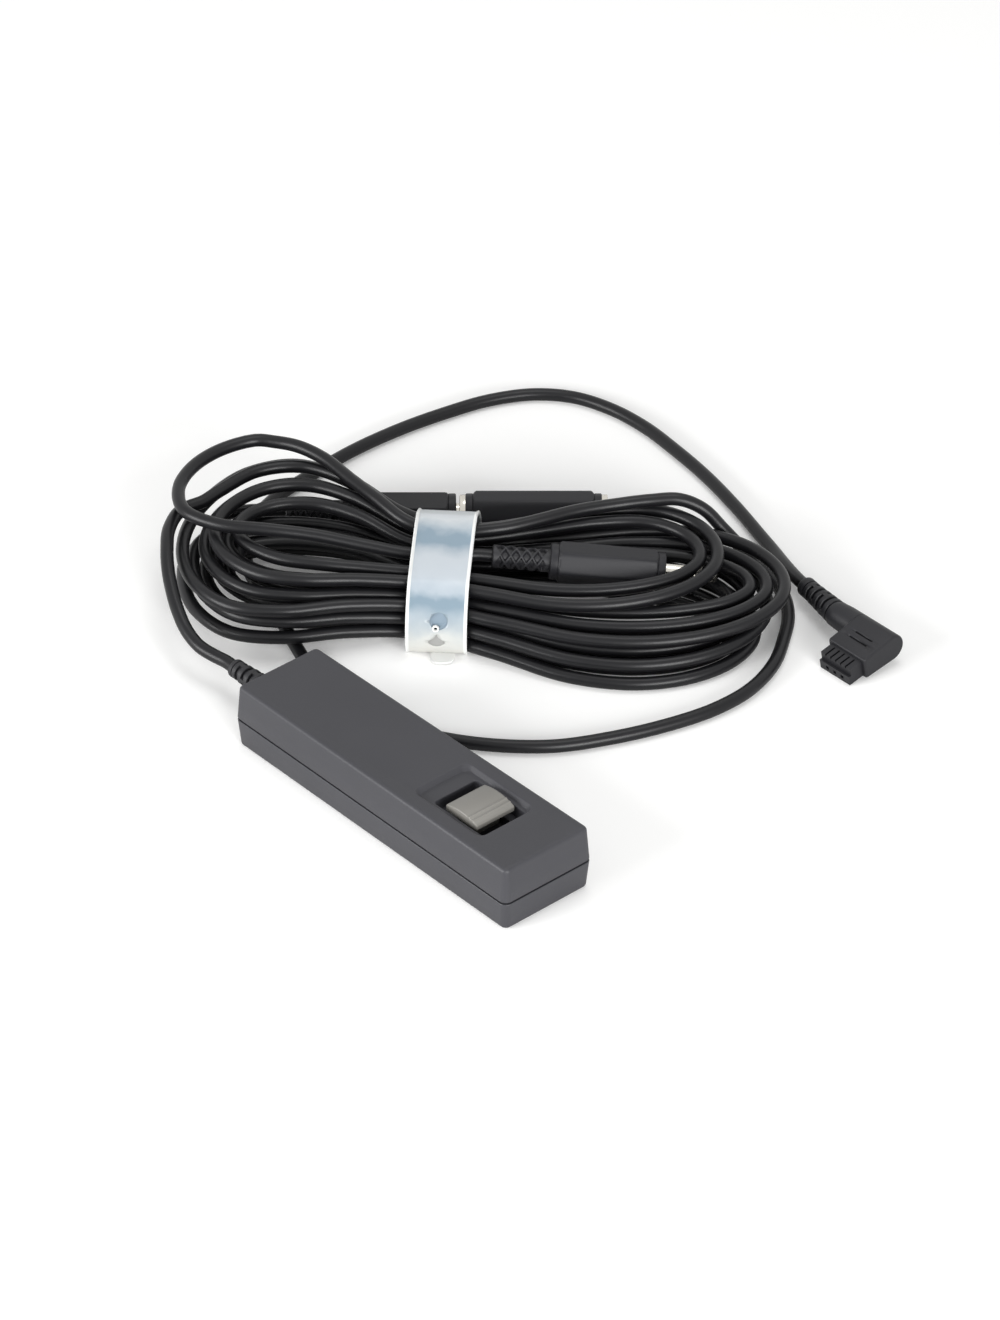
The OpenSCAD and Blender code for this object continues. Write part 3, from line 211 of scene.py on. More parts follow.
def smooth_run(points, step=1.2):
    """A centripetal spline through the points, with a point every step mm."""
    knots = [2 * points[0] - points[1], *points, 2 * points[-1] - points[-2]]
    least_gap = 1e-4
    out = []
    for before, p, q, after in zip(knots, knots[1:], knots[2:], knots[3:]):
        g0, g1, g2 = (max((b - a).length, least_gap) ** 0.5 for a, b in ((before, p), (p, q), (q, after)))
        leaving = (q - p) + g1 * ((p - before) / g0 - (q - before) / (g0 + g1))
        arriving = (q - p) + g1 * ((after - q) / g2 - (after - p) / (g1 + g2))
        count = max(1, round((q - p).length / step))
        for u in (k / count for k in range(count)):
            out.append(p * (2 * u ** 3 - 3 * u ** 2 + 1) + leaving * (u ** 3 - 2 * u ** 2 + u)
                       + q * (3 * u ** 2 - 2 * u ** 3) + arriving * (u ** 3 - u ** 2))
    return [*out, points[-1]]


def route_length(points):
    return sum((b - a).length for a, b in zip(points, points[1:]))


def lay_cord(name, points):
    """A round cord along the points, as a curve with one open spline."""
    data = bpy.data.curves.new(name, "CURVE")
    data.dimensions = "3D"
    data.bevel_depth = CORD_D / 2 * MM
    data.bevel_resolution = 6
    data.use_fill_caps = True
    spline = data.splines.new("POLY")
    spline.points.add(len(points) - 1)
    for slot, p in zip(spline.points, points):
        slot.co = (*(p * MM), 1.0)
    spline.use_smooth = True
    piece = bpy.data.objects.new(name, data)
    scene.collection.objects.link(piece)
    return piece


def beyond(p, q):
    """The point one cord's thickness past p on the way from q."""
    return p + (p - q).normalized() * CORD_D


def plug_axis(turn, dip=0.0):
    """The way a plug points that is turned about Z and dipped at its far end."""
    return Vector((math.cos(dip) * math.cos(turn), math.cos(dip) * math.sin(turn), -math.sin(dip)))


hank = [hank_point(HANK_FROM + i / POINTS_PER_LOOP)
        for i in range(round((HANK_TO - HANK_FROM) * POINTS_PER_LOOP) + 1)]
hank_start = beyond(hank[0], hank_point(HANK_FROM + CLOSE_BY))
hank_end = beyond(hank[-1], hank_point(HANK_TO - CLOSE_BY))
handset_route = [(-116.8, 24.5, 18), (-112.3, 17, 18), (-106.7, 11.8, 17.3), (-101.3, 7.7, 15.8),
                 (-95.4, 4.2, 13.7), (-89.6, 1.4, 11.7), (-84.2, -0.4, 9.8), (-78.4, -1.2, 8.5),
                 (-73.4, -0.6, 8)]
plug_route = [(-119.4, 49, 5.8), (-121.8, 42, 6)]
seated_axis = plug_axis(PLUG_TURN)
handset_stretch = [RELIEF_END, RELIEF_END - Vector((CORD_D, 0, 0)),
                   *[Vector(p) for p in reversed(handset_route)], beyond(hank_end, hank[-1]), hank_end]
plug_stretch = [hank_start, beyond(hank_start, hank[0]), *[Vector(p) for p in reversed(plug_route)],
                SEATED_AT - seated_axis * CORD_D, SEATED_AT]
hank_knots = hank[::-(POINTS_PER_LOOP // KNOTS_PER_LOOP)]
long_route = smooth_run([*handset_stretch, *hank_knots, *plug_stretch])
long_cord = lay_cord("long_cord", long_route)


def grain(tree, scale, detail, roughness=0.5):
    """Noise from 0 to 1 in a piece's own space, with so many grains to the metre."""
    place = add(tree, "ShaderNodeTexCoord").outputs["Object"]
    settings = {"Scale": scale, "Detail": detail, "Roughness": roughness}
    return add(tree, "ShaderNodeTexNoise", settings, {"Vector": place}).outputs["Fac"]


def tones(tree, source, stops):
    """A colour that the source picks from a ramp; a stop is a place and a hex code."""
    ramp = add(tree, "ShaderNodeValToRGB", links={"Fac": source})
    marks = ramp.color_ramp.elements
    while len(marks) < len(stops):
        marks.new(0.5)
    for mark, (place, hex_code) in zip(marks, stops):
        mark.position, mark.color = place, colour(hex_code)
    return ramp.outputs["Color"]


def bumps(tree, source, strength, height_mm):
    settings = {"Strength": strength, "Distance": height_mm * MM}
    return add(tree, "ShaderNodeBump", settings, {"Height": source}).outputs["Normal"]


# Flexible PVC, extruded: near black, with a soft sheen and faint flow marks
# about 0.8 mm apart that show as slight changes of gloss.
cord_pvc, tree = new_material("extruded_black_pvc_sheath")
flow, handling = grain(tree, 1250.0, 2.0, 0.6), grain(tree, 45.0, 3.0)
surface_with(tree, {"IOR": 1.5, "Specular IOR Level": 0.26},
             {"Base Color": tones(tree, handling, ((0.35, "#101012"), (0.75, "#161618"))),
              "Roughness": between(tree, flow, 0.3, 0.4), "Normal": bumps(tree, flow, 0.25, 0.03)})
long_cord.data.materials.append(cord_pvc)
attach(long_cord, "root")
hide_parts("handset_lead", "cord_hank", "plug_lead")

# --------------------------------------------
# The camera cord. The same sheath, 0.75 m long. It leaves the free jack plug,
# goes under the strap, rounds the left lobe, comes back through the strap and
# lies on the table in one wide loop and an arc to the camera plug.
# --------------------------------------------
FREE_AT = Vector((-52.5, 72.6, 15.3))
FREE_TURN, FREE_DIP = math.radians(48.2), math.radians(6)
CAMERA_AT = Vector((-1.8, 133.3, 4.6))
CAMERA_TURN, CAMERA_RISE = math.radians(-13), math.radians(3)
free_axis = plug_axis(FREE_TURN, FREE_DIP)
camera_axis = plug_axis(CAMERA_TURN, -CAMERA_RISE)
# A point without a height lies on the table
camera_route = [
    (-60, 63, 15.7), (-66.5, 56.5, 16.2), (-74.5, 49, 18), (-83.5, 40, 20.5), (-92, 31, 22), (-101, 24, 22),
    (-111, 21.5, 22), (-120, 26.5, 22), (-125.5, 35.5, 22), (-127, 46, 22), (-124.5, 55.5, 22),
    (-120.7, 58.7, 22), (-114.9, 61.6, 22.2), (-106.4, 63.1, 22), (-95.4, 62.7, 21.3), (-84.3, 62, 21.1),
    (-74.7, 62.4, 19.6), (-69, 65.4, 18.2), (-65.9, 68.2, 17.9), (-62.7, 71.3, 17.9), (-58.5, 76.3, 18.4),
    (-55.7, 81.3, 18.5), (-53.1, 89.3, 18.4), (-50.7, 99.1, 17.9), (-46.7, 109.1, 17.4), (-41.8, 116.7, 17.8),
    (-37, 122.4, 18), (-32.7, 126.8, 15.2), (-28.7, 130.2, 9.5), (-23.9, 132.4, 5), (-17.9, 133.2, 2.3),
    (-10.8, 131.6), (-3, 127.8), (2.9, 122.9), (7.9, 116.8), (14.6, 106.8), (18.6, 95), (18.9, 82.5),
    (15.8, 68.5), (10.6, 54.7), (4, 42.5), (-7, 31), (-19, 23), (-31, 18.6), (-43, 17.2), (-55, 17.6),
    (-68, 22), (-82, 27.5), (-96, 32), (-108, 38), (-118, 47.5), (-124, 60), (-126.5, 75), (-128, 91),
    (-127.5, 107), (-125.5, 121), (-122.5, 133.5), (-117, 144), (-109, 151), (-98.5, 154.6), (-86, 155.5),
    (-72, 154), (-57.5, 151.5), (-42, 147.5), (-29, 143.4), (-20.5, 140.4, 2.2), (-12.8, 137, 3.4)]
camera_knots = [Vector((*point, REST_Z)[:3]) for point in camera_route]
short_route = smooth_run([FREE_AT, FREE_AT - free_axis * CORD_D, *camera_knots,
                          CAMERA_AT - camera_axis * CORD_D, CAMERA_AT])
camera_cord = lay_cord("camera_cord", short_route)
camera_cord.data.materials.append(cord_pvc)
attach(camera_cord, "root")
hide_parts("camera_lead")

# --------------------------------------------
# The handset's upper case. Injection moulded charcoal ABS with a fine
# spark-eroded skin: a shallow lid whose sides lean in, with the stepped switch
# recess and the slot for the button's stem sunk in its top.
# --------------------------------------------
CASE_L, CASE_W, CASE_TAPER = 100.0, 27.0, 1.2
CASE_TOP, PARTING_LOW, PARTING_HIGH, PARTING_EASE = 17.4, 7.72, 8.28, 0.12
TOP_LEAN, TOP_FILLET, TOP_CORNER = 0.6, 1.1, 1.5
SIDE_CORNER, SHELL_WALL, TONGUE_IN, STEP_Z = 1.9, 1.6, 1.15, 9.35
ROOF, ROOF_IN = 15.8, 2.6
RECESS_X, WELL_X, SLOT_X = 23.3, 25.5, 27.1
CORNER_STEPS = 10
# Length, width, corner radius and height of the recess's levels in turn, from
# its rim down into the slot and up again behind its wall.
RECESS_LEVELS = (
    (RECESS_X, ((24.9, 17.9, 2.4, 17.4), (24.5, 17.5, 2.2, 17.36), (24.1, 17.1, 2.0, 17.2),
                (22.9, 15.9, 1.8, 16.25), (22.6, 15.6, 1.8, 16.12), (22.2, 15.2, 1.8, 16.1))),
    (WELL_X, ((18.2, 13.8, 1.1, 16.1), (17.9, 13.5, 1.0, 15.98), (17.8, 13.4, 1.0, 15.7),
              (17.8, 13.4, 1.0, 13.4), (17.6, 13.2, 1.0, 13.2), (17.2, 12.8, 1.0, 13.2))),
    (SLOT_X, ((8.6, 8.6, 0.2, 13.2), (8.6, 8.6, 0.2, 12.0))),
    (WELL_X, ((20.2, 15.8, 1.5, 12.0), (20.2, 15.8, 1.5, 14.9))),
    (RECESS_X, ((25.8, 18.8, 2.0, 14.9), (25.8, 18.8, 2.0, 15.8))))


def quarter(radius, steps):
    """How far in, and how far still to go, at each step of a quarter round."""
    return [(radius * (1 - math.cos(a)), radius * (1 - math.sin(a)))
            for a in (math.pi / 2 * i / steps for i in range(steps + 1))]


def plan_ring(middle, length, width, radius, z, taper=0.0):
    """A level rounded rectangle in mm; taper is how much wider its +X end is."""
    ring = []
    for k, (e, s) in enumerate(((1, 1), (-1, 1), (-1, -1), (1, -1))):
        x = middle + e * (length / 2 - radius)
        y = s * (width / 2 + e * taper / 4 - radius)
        for i in range(CORNER_STEPS + 1):
            a = math.pi / 2 * (k + i / CORNER_STEPS)
            ring.append(Vector((x + radius * math.cos(a), y + radius * math.sin(a), z)))
    return ring


def case_ring(inset, radius, z):
    return plan_ring(0, CASE_L - 2 * inset, CASE_W - 2 * inset, radius, z, CASE_TAPER)


def loft(name, rings, joined=False, sharp=32):
    """A mesh through rings of equal count; its ends are capped, or joined to each other."""
    n, total = len(rings[0]), len(rings)
    faces = []
    for i in range(total if joined else total - 1):
        a, b = i * n, (i + 1) % total * n
        faces += [(a + k, a + (k + 1) % n, b + (k + 1) % n, b + k) for k in range(n)]
    if not joined:
        faces += [tuple(reversed(range(n))), tuple(range((total - 1) * n, total * n))]
    mesh = bpy.data.meshes.new(name)
    mesh.from_pydata([p * MM for ring in rings for p in ring], [], faces)
    mesh.shade_smooth()
    mesh.set_sharp_from_angle(angle=math.radians(sharp))
    piece = bpy.data.objects.new(name, mesh)
    scene.collection.objects.link(piece)
    return piece


def mount(piece, material, body, slot, *cad_nodes):
    """Gives a piece its material and the body it rides on, and hides the solids it stands for."""
    piece.data.materials.clear()
    piece.data.materials.append(material)
    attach(piece, body)
    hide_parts(*cad_nodes)


def moulded(name, pale, deep, grain_mm, rough, relief_mm, level=0.42):
    """A moulded plastic: blotches of tone 30 mm wide under an even pitted skin."""
    material, tree = new_material(name)
    pits, flow = grain(tree, 1 / (grain_mm * MM), 3.0, 0.65), grain(tree, 33.0, 2.0)
    surface_with(tree, {"IOR": 1.53, "Specular IOR Level": level},
                 {"Base Color": tones(tree, flow, ((0.3, deep), (0.7, pale))),
                  "Roughness": between(tree, pits, *rough), "Normal": bumps(tree, pits, 0.5, relief_mm)})
    return material


# Acrylonitrile butadiene styrene from a spark-eroded tool: charcoal, with pits
# about 0.2 mm apart that break up the gloss, drawn at 0.35 mm so that they show.
case_abs = moulded("spark_textured_charcoal_abs", "#37373b", "#333337", 0.35, (0.38, 0.52), 0.012, 0.3)

side_low, side_high = PARTING_HIGH + PARTING_EASE, CASE_TOP - TOP_FILLET
outside = [case_ring(PARTING_EASE / 2, SIDE_CORNER, PARTING_HIGH), case_ring(0.0, SIDE_CORNER, side_low)]
for share in (0.5, 1.0):
    outside.append(case_ring(TOP_LEAN * share, SIDE_CORNER + (TOP_CORNER - SIDE_CORNER) * share,
                             side_low + (side_high - side_low) * share))
for gone, below in quarter(TOP_FILLET, 6)[1:]:
    outside.append(case_ring(TOP_LEAN + gone, TOP_CORNER - gone, CASE_TOP - below))
outside.append(case_ring(TOP_LEAN + TOP_FILLET + 0.25, TOP_CORNER - TOP_FILLET + 0.05, CASE_TOP))
recess = [plan_ring(middle, *level) for middle, levels in RECESS_LEVELS for level in levels]
inside = [case_ring(ROOF_IN, 1.0, ROOF), case_ring(SHELL_WALL, 1.0, STEP_Z),
          case_ring(TONGUE_IN, 1.3, STEP_Z), case_ring(TONGUE_IN, 1.3, PARTING_HIGH)]
upper_case = loft("upper_case", [*outside, *recess, *inside], joined=True)
mount(upper_case, case_abs, "root", "shell_plastic", "upper_shell")

# --------------------------------------------
# The lower case. The same ABS, a shallow tray with a bevelled foot and a tongue
# that locates the lid. Three screws go up through pockets in its underside.
# --------------------------------------------
SCREW_PLACES = ((41.5, 0.0), (-36.0, 8.0), (-36.0, -8.0))
POCKET_R, POCKET_DEEP, POCKET_EASE = 2.3, 2.2, 0.15
TONGUE_Z = 9.15
UP, ALONG_X = Vector((0, 0, 1)), Vector((1, 0, 0))


def settle(piece):
    """Makes what a piece's modifiers give its own plain mesh."""
    mesh = bpy.data.meshes.new_from_object(piece.evaluated_get(bpy.context.evaluated_depsgraph_get()))
    piece.modifiers.clear()
    mesh.name = piece.name
    piece.data = mesh


def cut_out(piece, cutters):
    """Takes the cutters' shapes out of a piece and removes them."""
    for cutter in cutters:
        carve = piece.modifiers.new("carve", "BOOLEAN")
        carve.operation, carve.solver, carve.object = "DIFFERENCE", "EXACT", cutter
        carve.material_mode = "TRANSFER" if cutter.data.materials else "INDEX"
    settle(piece)
    for cutter in cutters:
        bpy.data.objects.remove(cutter)


def turned(at, axis, stops, around=64, first=0.0):
    """Rings about an axis. A stop is a distance along it and a radius, or one by angle."""
    side = UP.cross(axis)
    side = side.normalized() if side.length > 0.01 else ALONG_X
    up = axis.cross(side)
    angles = [first + math.tau * k / around for k in range(around)]
    rings = []
    for along, radius in stops:
        reach = [radius(a) if callable(radius) else radius for a in angles]
        rings.append([at + axis * along + side * (r * math.cos(a)) + up * (r * math.sin(a))
                      for r, a in zip(reach, angles)])
    return rings


tray = [case_ring(1.25, SIDE_CORNER - 0.7, 0.0), case_ring(1.05, SIDE_CORNER - 0.6, 0.1),
        case_ring(0.6, SIDE_CORNER - 0.1, 0.6), case_ring(0.5, SIDE_CORNER, 0.85),
        case_ring(0.0, SIDE_CORNER, PARTING_LOW - 0.15), case_ring(0.08, SIDE_CORNER, PARTING_LOW),
        case_ring(TONGUE_IN + 0.1, 1.25, PARTING_LOW), case_ring(TONGUE_IN + 0.1, 1.25, TONGUE_Z),
        case_ring(SHELL_WALL, 1.0, TONGUE_Z), case_ring(SHELL_WALL + 0.5, 1.0, SHELL_WALL)]
lower_case = loft("lower_case", tray)
pocket_stops = [(-1.0, POCKET_R + POCKET_EASE), (0.0, POCKET_R + POCKET_EASE), (0.25, POCKET_R),
                (POCKET_DEEP, POCKET_R)]
cut_out(lower_case, [loft("pocket", turned(Vector((x, y, 0)), UP, pocket_stops, 32))
                     for x, y in SCREW_PLACES])
mount(lower_case, case_abs, "root", "shell_plastic", "lower_shell")

# --------------------------------------------
# The thumb button. Grey ABS, moulded in one with its stem: a crowned cap with
# two grip ridges near the free end. It rides in the black lock slider, which
# slides under the floor of the recess.
# --------------------------------------------
BUTTON_X, BUTTON_L, BUTTON_W, CAP_LOW = 25.6, 11.0, 12.0, 15.3
CROWN_TOP, CROWN_R, CROWN_X = 18.0, 15.0, 25.2
RIDGE_PLACES, RIDGE_W, RIDGE_H = (29.6, 28.3), 0.5, 0.2
CAP_FILLET, CAP_EASE, TOP_STEPS = 0.3, 0.25, 96


def crown_height(x):
    """The cap's top over x, with a rounded ridge at each ridge's place."""
    z = CROWN_TOP - CROWN_R + math.sqrt(CROWN_R ** 2 - (x - CROWN_X) ** 2)
    for ridge in RIDGE_PLACES:
        z += RIDGE_H * ease(1.5 - abs(x - ridge) / (RIDGE_W / 2))
    return z


left, right = BUTTON_X - BUTTON_L / 2, BUTTON_X + BUTTON_L / 2
left_high, right_high = crown_height(left), crown_height(right)
side_fillet = quarter(CAP_FILLET, 5)
side_view = [(left + CAP_EASE, CAP_LOW), (right - CAP_EASE, CAP_LOW), (right, CAP_LOW + CAP_EASE)]
side_view += [(right - gone, right_high - below) for gone, below in side_fillet[:-1]]
side_view += [(x, crown_height(x)) for x in (right - CAP_FILLET - (BUTTON_L - 2 * CAP_FILLET) * i / TOP_STEPS
                                             for i in range(TOP_STEPS + 1))]
side_view += [(left + gone, left_high - below) for gone, below in side_fillet[-2::-1]]
side_view.append((left, CAP_LOW + CAP_EASE))


def cap_ring(inset, y):
    """The cap's side view drawn in by inset all round, at y."""
    middle_z = (CAP_LOW + CROWN_TOP) / 2
    shorter, lower = 1 - 2 * inset / BUTTON_L, 1 - 2 * inset / (CROWN_TOP - CAP_LOW)
    return [Vector((BUTTON_X + (x - BUTTON_X) * shorter, y, middle_z + (z - middle_z) * lower))
            for x, z in side_view]


cap_fillet = quarter(CAP_FILLET, 4)
cap_rings = [cap_ring(inset, BUTTON_W / 2 - inwards) for inwards, inset in cap_fillet]
cap_rings += [cap_ring(inset, inwards - BUTTON_W / 2) for inwards, inset in reversed(cap_fillet)]
cap = loft("cap", cap_rings, sharp=40)
stem = loft("stem", [plan_ring(BUTTON_X, 5.0, w, 0.2, z)
                     for w, z in ((9.4, 9.0), (9.4, 10.1), (8.0, 10.1), (8.0, CAP_LOW + 0.2))])


def fuse(name, parts):
    """One object out of several meshes that make up one moulding."""
    shape = bmesh.new()
    for part in parts:
        shape.from_mesh(part.data)
        bpy.data.objects.remove(part)
    mesh = bpy.data.meshes.new(name)
    shape.to_mesh(mesh)
    shape.free()
    piece = bpy.data.objects.new(name, mesh)
    scene.collection.objects.link(piece)
    return piece


# Grey ABS from a polished tool: a satin skin with faint blotches of tone.
button_abs = moulded("satin_grey_abs", "#7d7b76", "#706e69", 0.5, (0.34, 0.44), 0.004)
mount(fuse("thumb_button", [cap, stem]), button_abs, "button", "button_plastic", "release_button")


def dress(material, *names):
    """A better material for solids whose shape is right as it is."""
    for name in names:
        mesh = nodes[name].data
        if mesh.materials:
            nodes[name].material_slots[0].material = material
        else:
            mesh.materials.append(material)


# The slider is self-coloured black acetal, smooth enough to run on its rails.
slider_acetal = moulded("smooth_black_acetal", "#26262a", "#212124", 0.6, (0.3, 0.38), 0.003)
dress(slider_acetal, "lock_slider")

# --------------------------------------------
# Bend reliefs of the handset and the camera plug. Soft black TPE moulded round
# the cord: a tapered core with ribs that hold together by two bars, turned a
# quarter from one rib to the next.
# --------------------------------------------
BOOT_AROUND = 48
RIB_SHARE, RIB_ROUND, BAR_SHARE, BAR_HALF = 0.58, 0.18, 0.6, 0.2


def rib_mesh(name, width, round_off):
    """A rib one millimetre in radius about X, with rounded edges."""
    ends = [(0.0, 0.86), (round_off * 0.3, 0.95), (round_off, 1.0), (width - round_off, 1.0),
            (width - round_off * 0.3, 0.95), (width, 0.86)]
    return loft(name, turned(Vector(), ALONG_X, ends, BOOT_AROUND))


def bar_mesh(name, length, width):
    """Two small bars along X, opposite each other, that reach from rib to rib."""
    corners = [(0.6, -width), (0.93, -width), (0.93, width), (0.6, width)]
    bars = [loft("bar", [[Vector((x, side * y, z)) for y, z in corners[::side]] for x in (0, length)])
            for side in (1, -1)]
    return fuse(name, bars)


def ribbed_boot(name, length, end_d, base_d, ribs, first_rib, material):
    """A boot along +X: core, ribs and bars, the latter two set out in a row."""
    pitch = (length - first_rib) / ribs
    core_ds = ((0, end_d * 0.86), (0.15, end_d * 0.96), (0.4, end_d), (first_rib * 0.85, end_d),
               (first_rib * 0.9, end_d * 0.97), (first_rib * 0.93, end_d * 0.72),
               (length * 0.995, base_d * 0.72))
    core = loft(name, turned(Vector(), ALONG_X, [(s, d / 2) for s, d in core_ds], BOOT_AROUND))
    rib, bars = rib_mesh("rib", pitch * RIB_SHARE, RIB_ROUND), bar_mesh("bars", pitch * BAR_SHARE, BAR_HALF)
    tree = bpy.data.node_groups.new("boot_ribs", "GeometryNodeTree")
    tree.interface.new_socket("Core", in_out="INPUT", socket_type="NodeSocketGeometry")
    names = {}
    for label, kind in (("Ribs", "NodeSocketInt"), ("Pitch", "NodeSocketFloat"), ("First", "NodeSocketFloat"),
                        ("End Radius", "NodeSocketFloat"), ("Base Radius", "NodeSocketFloat")):
        names[label] = tree.interface.new_socket(label, in_out="INPUT", socket_type=kind).identifier
    tree.interface.new_socket("Boot", in_out="OUTPUT", socket_type="NodeSocketGeometry")
    given = add(tree, "NodeGroupInput").outputs
    step = add(tree, "ShaderNodeCombineXYZ", links={"X": given["Pitch"]})
    start = add(tree, "ShaderNodeCombineXYZ", links={"X": given["First"]})
    row = add(tree, "GeometryNodeMeshLine", links={"Count": given["Ribs"], "Start Location": start.outputs[0],
                                                   "Offset": step.outputs[0]})
    number = add(tree, "GeometryNodeInputIndex").outputs[0]
    width = add(tree, "ShaderNodeMapRange", {"From Max": float(ribs)},
                {"Value": number, "To Min": given["End Radius"], "To Max": given["Base Radius"]}).outputs[0]
    swell = add(tree, "ShaderNodeCombineXYZ", {"X": 1.0}, {"Y": width, "Z": width})
    quarters = add(tree, "ShaderNodeMath", {"operation": "MULTIPLY", 1: math.pi / 2}, {0: number})
    turn = add(tree, "ShaderNodeCombineXYZ", links={"X": quarters.outputs[0]})
    as_turn = add(tree, "FunctionNodeEulerToRotation", links={0: turn.outputs[0]})
    join = add(tree, "GeometryNodeJoinGeometry")
    tree.links.new(given["Core"], join.inputs[0])
    for part, back in ((rib, 0.0), (bars, -pitch * 0.5)):
        shape = add(tree, "GeometryNodeObjectInfo", {"Object": part})
        moved = add(tree, "GeometryNodeTransform", {"Translation": (back * MM, 0, 0)},
                    {"Geometry": shape.outputs["Geometry"]})
        copies = add(tree, "GeometryNodeInstanceOnPoints", links={
            "Points": row.outputs[0], "Instance": moved.outputs[0], "Rotation": as_turn.outputs[0],
            "Scale": swell.outputs[0]})
        tree.links.new(copies.outputs[0], join.inputs[0])
    solid = add(tree, "GeometryNodeRealizeInstances", links={0: join.outputs[0]})
    covered = add(tree, "GeometryNodeSetMaterial", {"Material": material}, {"Geometry": solid.outputs[0]})
    smooth = add(tree, "GeometryNodeSetShadeSmooth", {"Shade Smooth": True}, {"Geometry": covered.outputs[0]})
    add(tree, "NodeGroupOutput", links={0: smooth.outputs[0]})
    make = core.modifiers.new("boot", "NODES")
    make.node_group = tree
    for label, value in (("Ribs", ribs), ("Pitch", pitch * MM), ("First", first_rib * MM),
                         ("End Radius", end_d / 2), ("Base Radius", base_d / 2)):
        make[names[label]] = value
    settle(core)
    core.data.set_sharp_from_angle(angle=math.radians(40))
    for part in (rib, bars):
        bpy.data.objects.remove(part)
    return core


def put(piece, at, turn=0.0, dip=0.0):
    """Turns a piece made along +X onto its own axis and moves it to its place."""
    spin = Matrix.Rotation(turn, 4, "Z") @ Matrix.Rotation(dip, 4, "Y")
    piece.data.transform(Matrix.Translation(at * MM) @ spin)
    return piece


# Thermoplastic elastomer: black, soft and duller than the plastic beside it,
# with a fine matt grain.
relief_tpe = moulded("matt_black_tpe", "#212124", "#1b1b1e", 0.3, (0.46, 0.58), 0.01, 0.36)
handset_boot = ribbed_boot("handset_boot", 15.95, 4.8, 6.6, 6, 1.4, relief_tpe)
flange = loft("flange", turned(Vector(), ALONG_X, ((15.9, 2.5), (17.95, 2.5), (17.95, 4.0), (19.3, 4.0)),
                               BOOT_AROUND))
handset_boot = fuse("handset_relief_boot", [handset_boot, flange])
mount(put(handset_boot, RELIEF_END), relief_tpe, "root", "relief_rubber", "handset_relief")

# --------------------------------------------
# The two jack plugs. Each body is a black ABS hexagon with a turned collar at
# both ends; in front stands the shaft, of nickel-plated parts and insulators,
# behind it a relief with a lattice of hollows. One is seated in the coupler.
# --------------------------------------------
FLATS, HEX_EDGE = 4.65, 5.3
LATTICE_ROWS, LATTICE_ROUND, LATTICE_FLAT, LATTICE_EDGE = 9, 4, 1.2, 0.2
LATTICE_L, LATTICE_R, LATTICE_CORE_R, LATTICE_RINGS = 14.6, 2.9, 2.05, 110


def hexed(limit, first=0.0):
    """Radius of a hexagon bar turned down to the limit, by angle."""
    return lambda a: min(FLATS / math.cos((a - first) % (math.pi / 3) - math.pi / 6), limit)


def lattice(along):
    """Radius of the lattice relief at a place along it, by angle."""
    cell = (LATTICE_L - 2 * LATTICE_FLAT) / LATTICE_ROWS

    def radius(a):
        deep = 0.0
        for row in range(LATTICE_ROWS):
            off = abs(along - LATTICE_FLAT - cell * (row + 0.5)) / cell
            for k in range(LATTICE_ROUND if off < 1 else 0):
                turn = (a - math.tau * (k + row % 2 / 2) / LATTICE_ROUND + math.pi) % math.tau - math.pi
                deep = max(deep, ease((0.84 - off - abs(turn) * LATTICE_ROUND / math.pi) / LATTICE_EDGE))
        return LATTICE_R - (LATTICE_R - LATTICE_CORE_R) * deep
    return radius


def plug_parts(name, at, axis, first):
    """Relief, body, sleeve, insulators, ring and tip of one jack plug."""
    def part(label, stops, around=64, joined=True):
        return loft(f"{name}_{label}", turned(at, axis, stops, around), joined)

    end = 0.3
    rows = [end + (LATTICE_L - 2 * end) * i / LATTICE_RINGS for i in range(LATTICE_RINGS + 1)]
    relief_stops = [(0.0, 2.675), (0.12, 2.783), *[(s, lattice(s)) for s in (*rows, 14.45, LATTICE_L)]]
    relief = part("lattice_relief", relief_stops, 120, False)
    low, middle, full = (hexed(limit, first) for limit in (4.5, 5.0, HEX_EDGE))
    body_stops = [(14.6, 4.2), (14.7, 4.5), (14.95, 4.6), (16.4, 4.6), (16.5, 4.45), (16.55, low),
                  (16.95, middle), (17.35, full), (40.85, full), (41.25, middle), (41.65, low), (41.7, 4.45),
                  (41.8, 4.6), (43.25, 4.6), (43.5, 4.5), (43.6, 4.2)]
    body = part("hex_body", body_stops, 96, False)
    sleeve = part("sleeve", [(43.6, 1.4), (43.6, 2.0), (43.7, 2.1), (49.25, 2.1), (49.4, 1.98), (49.4, 1.4)])
    liner = part("insulators", [(43.6, 0.7), (43.6, 1.4), (49.4, 1.4), (49.4, 1.95), (50.0, 1.8), (50.0, 1.4),
                                (52.4, 1.4), (52.4, 1.75), (53.0, 1.7), (53.0, 0.7)])
    ring = part("ring", [(50.0, 1.4), (50.0, 1.74), (50.08, 1.8), (52.3, 1.8), (52.4, 1.72), (52.4, 1.4)])
    tip_stops = [(43.6, 0.7), (53.0, 0.7), (53.02, 1.36), (53.75, 1.38), (54.3, 1.62), (54.75, 1.87),
                 (55.2, 1.9), (55.8, 1.86), (56.3, 1.68), (56.7, 1.35), (57.0, 0.9), (57.15, 0.5),
                 (57.2, 0.15)]
    tip = part("tip", tip_stops, joined=False)
    return relief, body, sleeve, liner, ring, tip


# Plug ABS: darker than the case and moulded smoother, with the same faint pits.
plug_abs = moulded("fine_textured_black_abs", "#1f1f22", "#1a1a1d", 0.3, (0.4, 0.54), 0.008, 0.25)


